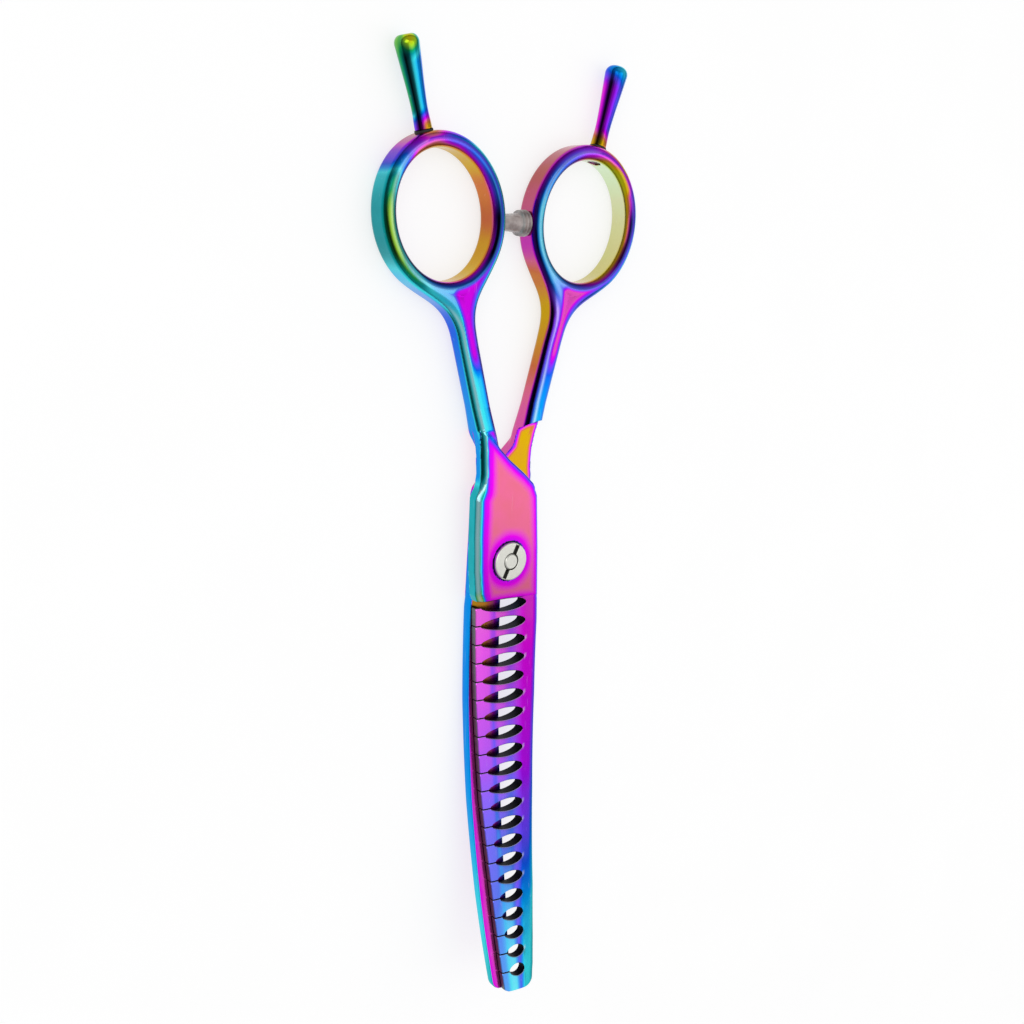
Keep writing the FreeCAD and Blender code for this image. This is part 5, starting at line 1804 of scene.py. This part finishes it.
@dataclass
class Studio:
    """White sweep, soft lights and the camera."""

    floor: float
    lamps: tuple[Lamp, ...]
    camera_place: tuple[float, float, float] = (-0.14807, 0.06514, 0.18852)
    camera_right: tuple[float, float, float] = (0.7859, 0.0380, 0.6172)
    camera_up: tuple[float, float, float] = (0.1100, 0.9736, -0.2001)
    lens: float = 42.19

    def build(self) -> None:
        """Lay the floor, hang the lights and place the camera."""
        self.sweep()
        self.sky()
        for lamp in self.lamps:
            lamp.build()
        data = bpy.data.cameras.new("camera")
        data.lens, data.sensor_width = self.lens, 36.0
        data.clip_start, data.clip_end = 0.005, 20.0
        camera = bpy.data.objects.new("camera", data)
        right, up = Vector(self.camera_right).normalized(), Vector(self.camera_up)
        back = right.cross(up).normalized()
        up = back.cross(right)
        turn = Matrix((right, up, back)).transposed().to_4x4()
        camera.matrix_world = Matrix.Translation(self.camera_place) @ turn
        bpy.context.scene.collection.objects.link(camera)
        bpy.context.scene.camera = camera
        bpy.context.scene.view_settings.view_transform = "Standard"

    def sweep(self) -> None:
        """A wide pale floor, lit a little from within so that it stays white."""
        reach = 3.0
        mesh = bpy.data.meshes.new("floor")
        corners = [(-reach, -reach), (reach, -reach), (reach, reach), (-reach, reach)]
        mesh.from_pydata([(x, y, self.floor) for x, y in corners], [], [(0, 1, 2, 3)])
        graph = Graph("floor_paper")
        speckle = graph.noise(graph.place((1.0, 1.0, 1.0)), 30.0, 2.0)
        colour = graph.blend(speckle, paint(160, 160, 160), paint(164, 164, 164))
        glow = {"emission_color": (1.0, 1.0, 1.0, 1.0), "emission_strength": 0.7}
        mesh.materials.append(graph.dress(base_color=colour, roughness=0.9, specular=0.1, **glow))
        floor = bpy.data.objects.new("floor", mesh)
        bpy.context.scene.collection.objects.link(floor)
        floor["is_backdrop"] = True

    def sky(self) -> None:
        """A pale surround, dimmer towards the horizon so that rounded metal shows its form."""
        world = bpy.data.worlds.new("studio")
        bpy.context.scene.world = world
        world.use_nodes = True
        nodes, links = world.node_tree.nodes, world.node_tree.links
        place = nodes.new("ShaderNodeTexCoord")
        parts = nodes.new("ShaderNodeSeparateXYZ")
        ramp = nodes.new("ShaderNodeMapRange")
        ramp.interpolation_type = "SMOOTHSTEP"
        ramp.inputs["From Min"].default_value = 0.0
        ramp.inputs["From Max"].default_value = 0.55
        ramp.inputs["To Min"].default_value = 0.25
        ramp.inputs["To Max"].default_value = 0.6
        links.new(place.outputs["Generated"], parts.inputs[0])
        links.new(parts.outputs["Z"], ramp.inputs["Value"])
        links.new(ramp.outputs["Result"], nodes["Background"].inputs["Strength"])
        nodes["Background"].inputs["Color"].default_value = (1.0, 1.0, 1.0, 1.0)


# ---------------------------------------------------------------------------------------
# Assembly
# ---------------------------------------------------------------------------------------


def in_mm(value: Sequence[float]) -> Vector:
    """A point or size in metres, in millimetres."""
    return Vector(value) / MM


def redress(nodes: Mapping[str, bpy.types.Object], finishes: Mapping[str, bpy.types.Material]) -> None:
    """Give the CAD pieces that stay their finishes.

    Args:
        nodes: the CAD model's pieces by name.
        finishes: a material for each piece that stays.
    """
    for name, material in finishes.items():
        node = nodes[name]
        if not node.material_slots:
            node.data.materials.append(material)
        for slot in node.material_slots:
            slot.material = material
        LOG.info("%s keeps its CAD shape and wears %s", name, material.name)


def make_handles(ring: Vector, nut: tuple[Vector, Vector]) -> tuple[FrontHandle, RearHandle]:
    """Both halves' handles; each is the same ring and shank with its own ricasso and neck.

    Args:
        ring: centre of the finger hole, in the half's own frame.
        nut: the box of the tension nut, whose seat lies in the front ricasso.

    Returns:
        The front handle and the rear one.
    """
    nut_low, nut_high = nut
    heel = ((-7.2, -7.95), (0.0, -8.12), (8.3, -8.7))
    far = (heel[-1], (7.85, 1.9), (7.1, 12.9), (6.6, 14.2))
    slant = (far[-1], (5.76, 15.7), (3.27, 18.0), (-0.49, 21.0), (-3.93, 24.3), (-6.0, 26.1), (-7.2, 27.2))
    shoulder = ((-7.3, 23.0), (-7.05, 18.4), (-7.2, 16.8), (-7.5, 15.6), (-8.0, 14.7), (-8.35, 14.0))
    side = ((-8.5, 13.3), (-8.5, 5.5), (-8.25, -1.5), (-7.75, -6.6))
    front = FrontHandle(
        "toothed_handle", "toothed", "toothed_half", "toothed_coating", False, ring.x, ring.y,
        outline=(*side, *heel, *far[1:], *slant[1:], (-7.9, 27.0), *shoulder),
        spine_line=((-7.9, 30.0), *shoulder, *side, heel[0]),
        far_line=far,
        slant_line=slant,
        heel_line=heel,
        bore=2.98,
        inner_seat=(0.0, 0.0),
        outer_seat=(nut_high.x + 0.12, nut_low.z - 0.75),
        keys=FRONT_KEYS,
        bar_end=21.0,
        ramp_reach=5.5,
    )
    far = ((6.9, -8.1), (6.5, 6.0), (6.4, 12.9))
    slant = (far[-1], (5.76, 15.0), (3.27, 18.0), (-0.49, 21.4), (-3.93, 24.6), (-6.0, 26.4))
    shank = ((-7.0, 29.5), (-9.1, 29.5), (-8.9, 28.0), (-8.0, 25.2), (-7.35, 22.5), (-7.18, 18.7), (-7.4, 16.9))
    rear = RearHandle(
        "plain_handle", "plain", "plain_half", "plain_coating", True, ring.x, ring.y,
        outline=((-7.35, 14.0), (-7.35, -8.1), *far, *slant[1:], *shank),
        spine_line=((-7.6, 30.0), (-7.2, 22.0), (-7.1, 18.7), (-7.35, 14.0), (-7.35, -8.1)),
        far_line=far,
        slant_line=slant,
        heel_line=((-7.35, -8.1), far[0]),
        bore=2.08,
        inner_seat=(5.06, 0.62),
        outer_seat=(3.7, 2.0),
        keys=REAR_KEYS,
        scoop=(-7.6, 20.3, 8.3),
    )
    return front, rear


def make_rests(joints: Mapping[str, Mapping[str, object]]) -> list[bpy.types.Object]:
    """Both finger rests, each standing on its washer along its own joint.

    Args:
        joints: the part's joints by name.

    Returns:
        The left rest and the right one.
    """
    film = RainbowFilm("film_rests", 0.16).build()
    base_height, length = 0.3, 16.3
    films = {
        "left": (
            (0.30, 0.34, 0.30, 0.22, 0.20, 0.04, 0.0, 0.0, 0.0),
            (0.66, 0.76, 0.70, 0.62, 0.60, 0.58, 0.50, 0.46, 0.5),
            (0.76, 0.80, 0.78, 0.80, 0.90, 0.96, 0.9, 0.6, 0.6),
        ),
        "right": (
            (0.0, 0.0, 0.02, 0.0, -0.02, 0.0, 0.05, 0.1, 0.1),
            (0.16, 0.20, 0.26, 0.28, 0.26, 0.30, 0.40, 0.46, 0.46),
            (0.40, 0.46, 0.50, 0.50, 0.54, 0.56, 0.60, 0.52, 0.5),
        ),
    }
    # painted dark reflection across the rests, by the direction that the side faces
    shades = (0.0, 0.1, 0.8, 1.0, 0.9, 0.1, 0.0, 0.1, 0.3)
    made = []
    for hand, hand_films in films.items():
        joint = joints[f"{hand}_rest_unscrew"]
        axis = Vector(joint["axis"])
        base = in_mm(joint["pos_m"]) + axis * base_height
        rest = FingerRest(
            f"{hand}_rest_shaft", f"{hand}_finger_rest", f"{hand}_rest", f"{hand}_rest_coating",
            base, axis, length, hand_films, shades,
        )
        made.append(rest.build(film))
    return made


def make_bumper() -> bpy.types.Object:
    """The bumper, laid between the two ends of its CAD piece's box.

    Returns:
        The new piece.
    """
    low, high = (in_mm(corner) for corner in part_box("bumper"))
    middle = (low + high) / 2.0
    silicone = Moulded(
        "bumper_silicone", paint(196, 184, 180), paint(128, 112, 110), 0.26, coat=0.5, clearness=0.15
    )
    bumper = Bumper(Vector((high.x, middle.y, 0.0)), Vector((low.x, middle.y, 0.0)))
    return bumper.build(silicone.build())


def dress_hardware(nodes: Mapping[str, bpy.types.Object], bright: bpy.types.Material) -> None:
    """Give the pivot's parts, the washers and the bumper's stud their finishes.

    Args:
        nodes: the CAD model's pieces by name.
        bright: the nut's steel, which the bolt shares.
    """
    rubber = Moulded("washer_rubber", paint(26, 26, 28), paint(12, 12, 14), 0.55).build()
    nylon = Moulded("bearing_nylon", paint(238, 236, 228), paint(222, 218, 208), 0.45).build()
    redress(nodes, {
        "pivot_bolt": bright,
        "pivot_bushing": BareSteel("bushing_brass", paint(205, 165, 90), 0.3).build(),
        "blade_bearing_washer": nylon,
        "nut_seat_washer": nylon,
        "tension_spring_washer": BareSteel("spring_steel", paint(150, 150, 155), 0.3).build(),
        "left_rest_washer": rubber,
        "right_rest_washer": rubber,
        "bumper_stud": BareSteel("stud_brass", paint(200, 160, 85), 0.35).build(),
    })


def main() -> None:
    """Build every piece round the CAD model, then the studio."""
    logging.basicConfig(level=logging.INFO, format="%(name)s: %(message)s")
    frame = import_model()
    cad_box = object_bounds()
    mounts = {mount["name"]: mount for mount in frame["record"]["mounts"]}
    joints = {joint["name"]: joint for joint in frame["joints"]}
    nut_low, nut_high = (in_mm(corner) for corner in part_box("tension_nut"))
    toothed_low = in_mm(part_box("toothed_half")[0])
    plain_low = in_mm(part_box("plain_half")[0])
    bend = Bend(352.0)
    toothed_inset, plain_inset = 0.7, 0.5  # from the CAD blades' ends to the drawn ones

    front, rear = make_handles(in_mm(mounts["left_finger_hole"]["pos_m"]), (nut_low, nut_high))
    film_front = RainbowFilm("film_front").build()
    film_rear = RainbowFilm("film_rear").build()
    along = (1.0, 1.0, 0.1)
    bare = BareSteel("ground_tooth_tips", paint(118, 118, 114), 0.4, along, 5000.0).build()
    # the gullet walls are painted near black with a navy tint, as shade inside the slits
    gullet = BareSteel("gullet_walls_painted_shade", paint(2, 2, 8), 0.45, along, 5000.0, grain_and_shade_tint=paint(12, 16, 44)).build()
    bright = BareSteel("turned_steel", paint(240, 240, 230), 0.22).build()
    pieces = [
        front.build(film_front),
        rear.build(film_rear),
        ToothedBlade(bend, -toothed_low.y - toothed_inset).build((film_front, bare, gullet)),
        PlainBlade(bend, -plain_low.y - plain_inset).build(film_rear),
        TensionNut(nut_low.z, nut_high.z, nut_high.x).build(bright),
        *make_rests(joints),
        make_bumper(),
    ]
    for piece in pieces:
        LOG.info("%s has %d faces", piece.name, len(piece.data.polygons))
    dress_hardware(frame["nodes"], bright)
    Studio(
        cad_box[0].z - FLOOR_GAP,
        (
            Lamp("key", (-0.55, 0.25, 0.75), (0.0, 0.0, 0.0), 0.5, 0.5, 1.2),
            Lamp("overhead", (0.1, 0.0, 0.9), (0.0, 0.0, 0.0), 0.7, 0.9, 1.2),
            Lamp("side", (0.7, -0.1, 0.35), (0.0, 0.0, 0.0), 0.3, 0.9, 0.6),
        ),
    ).build()


if __name__ == "__main__":
    main()
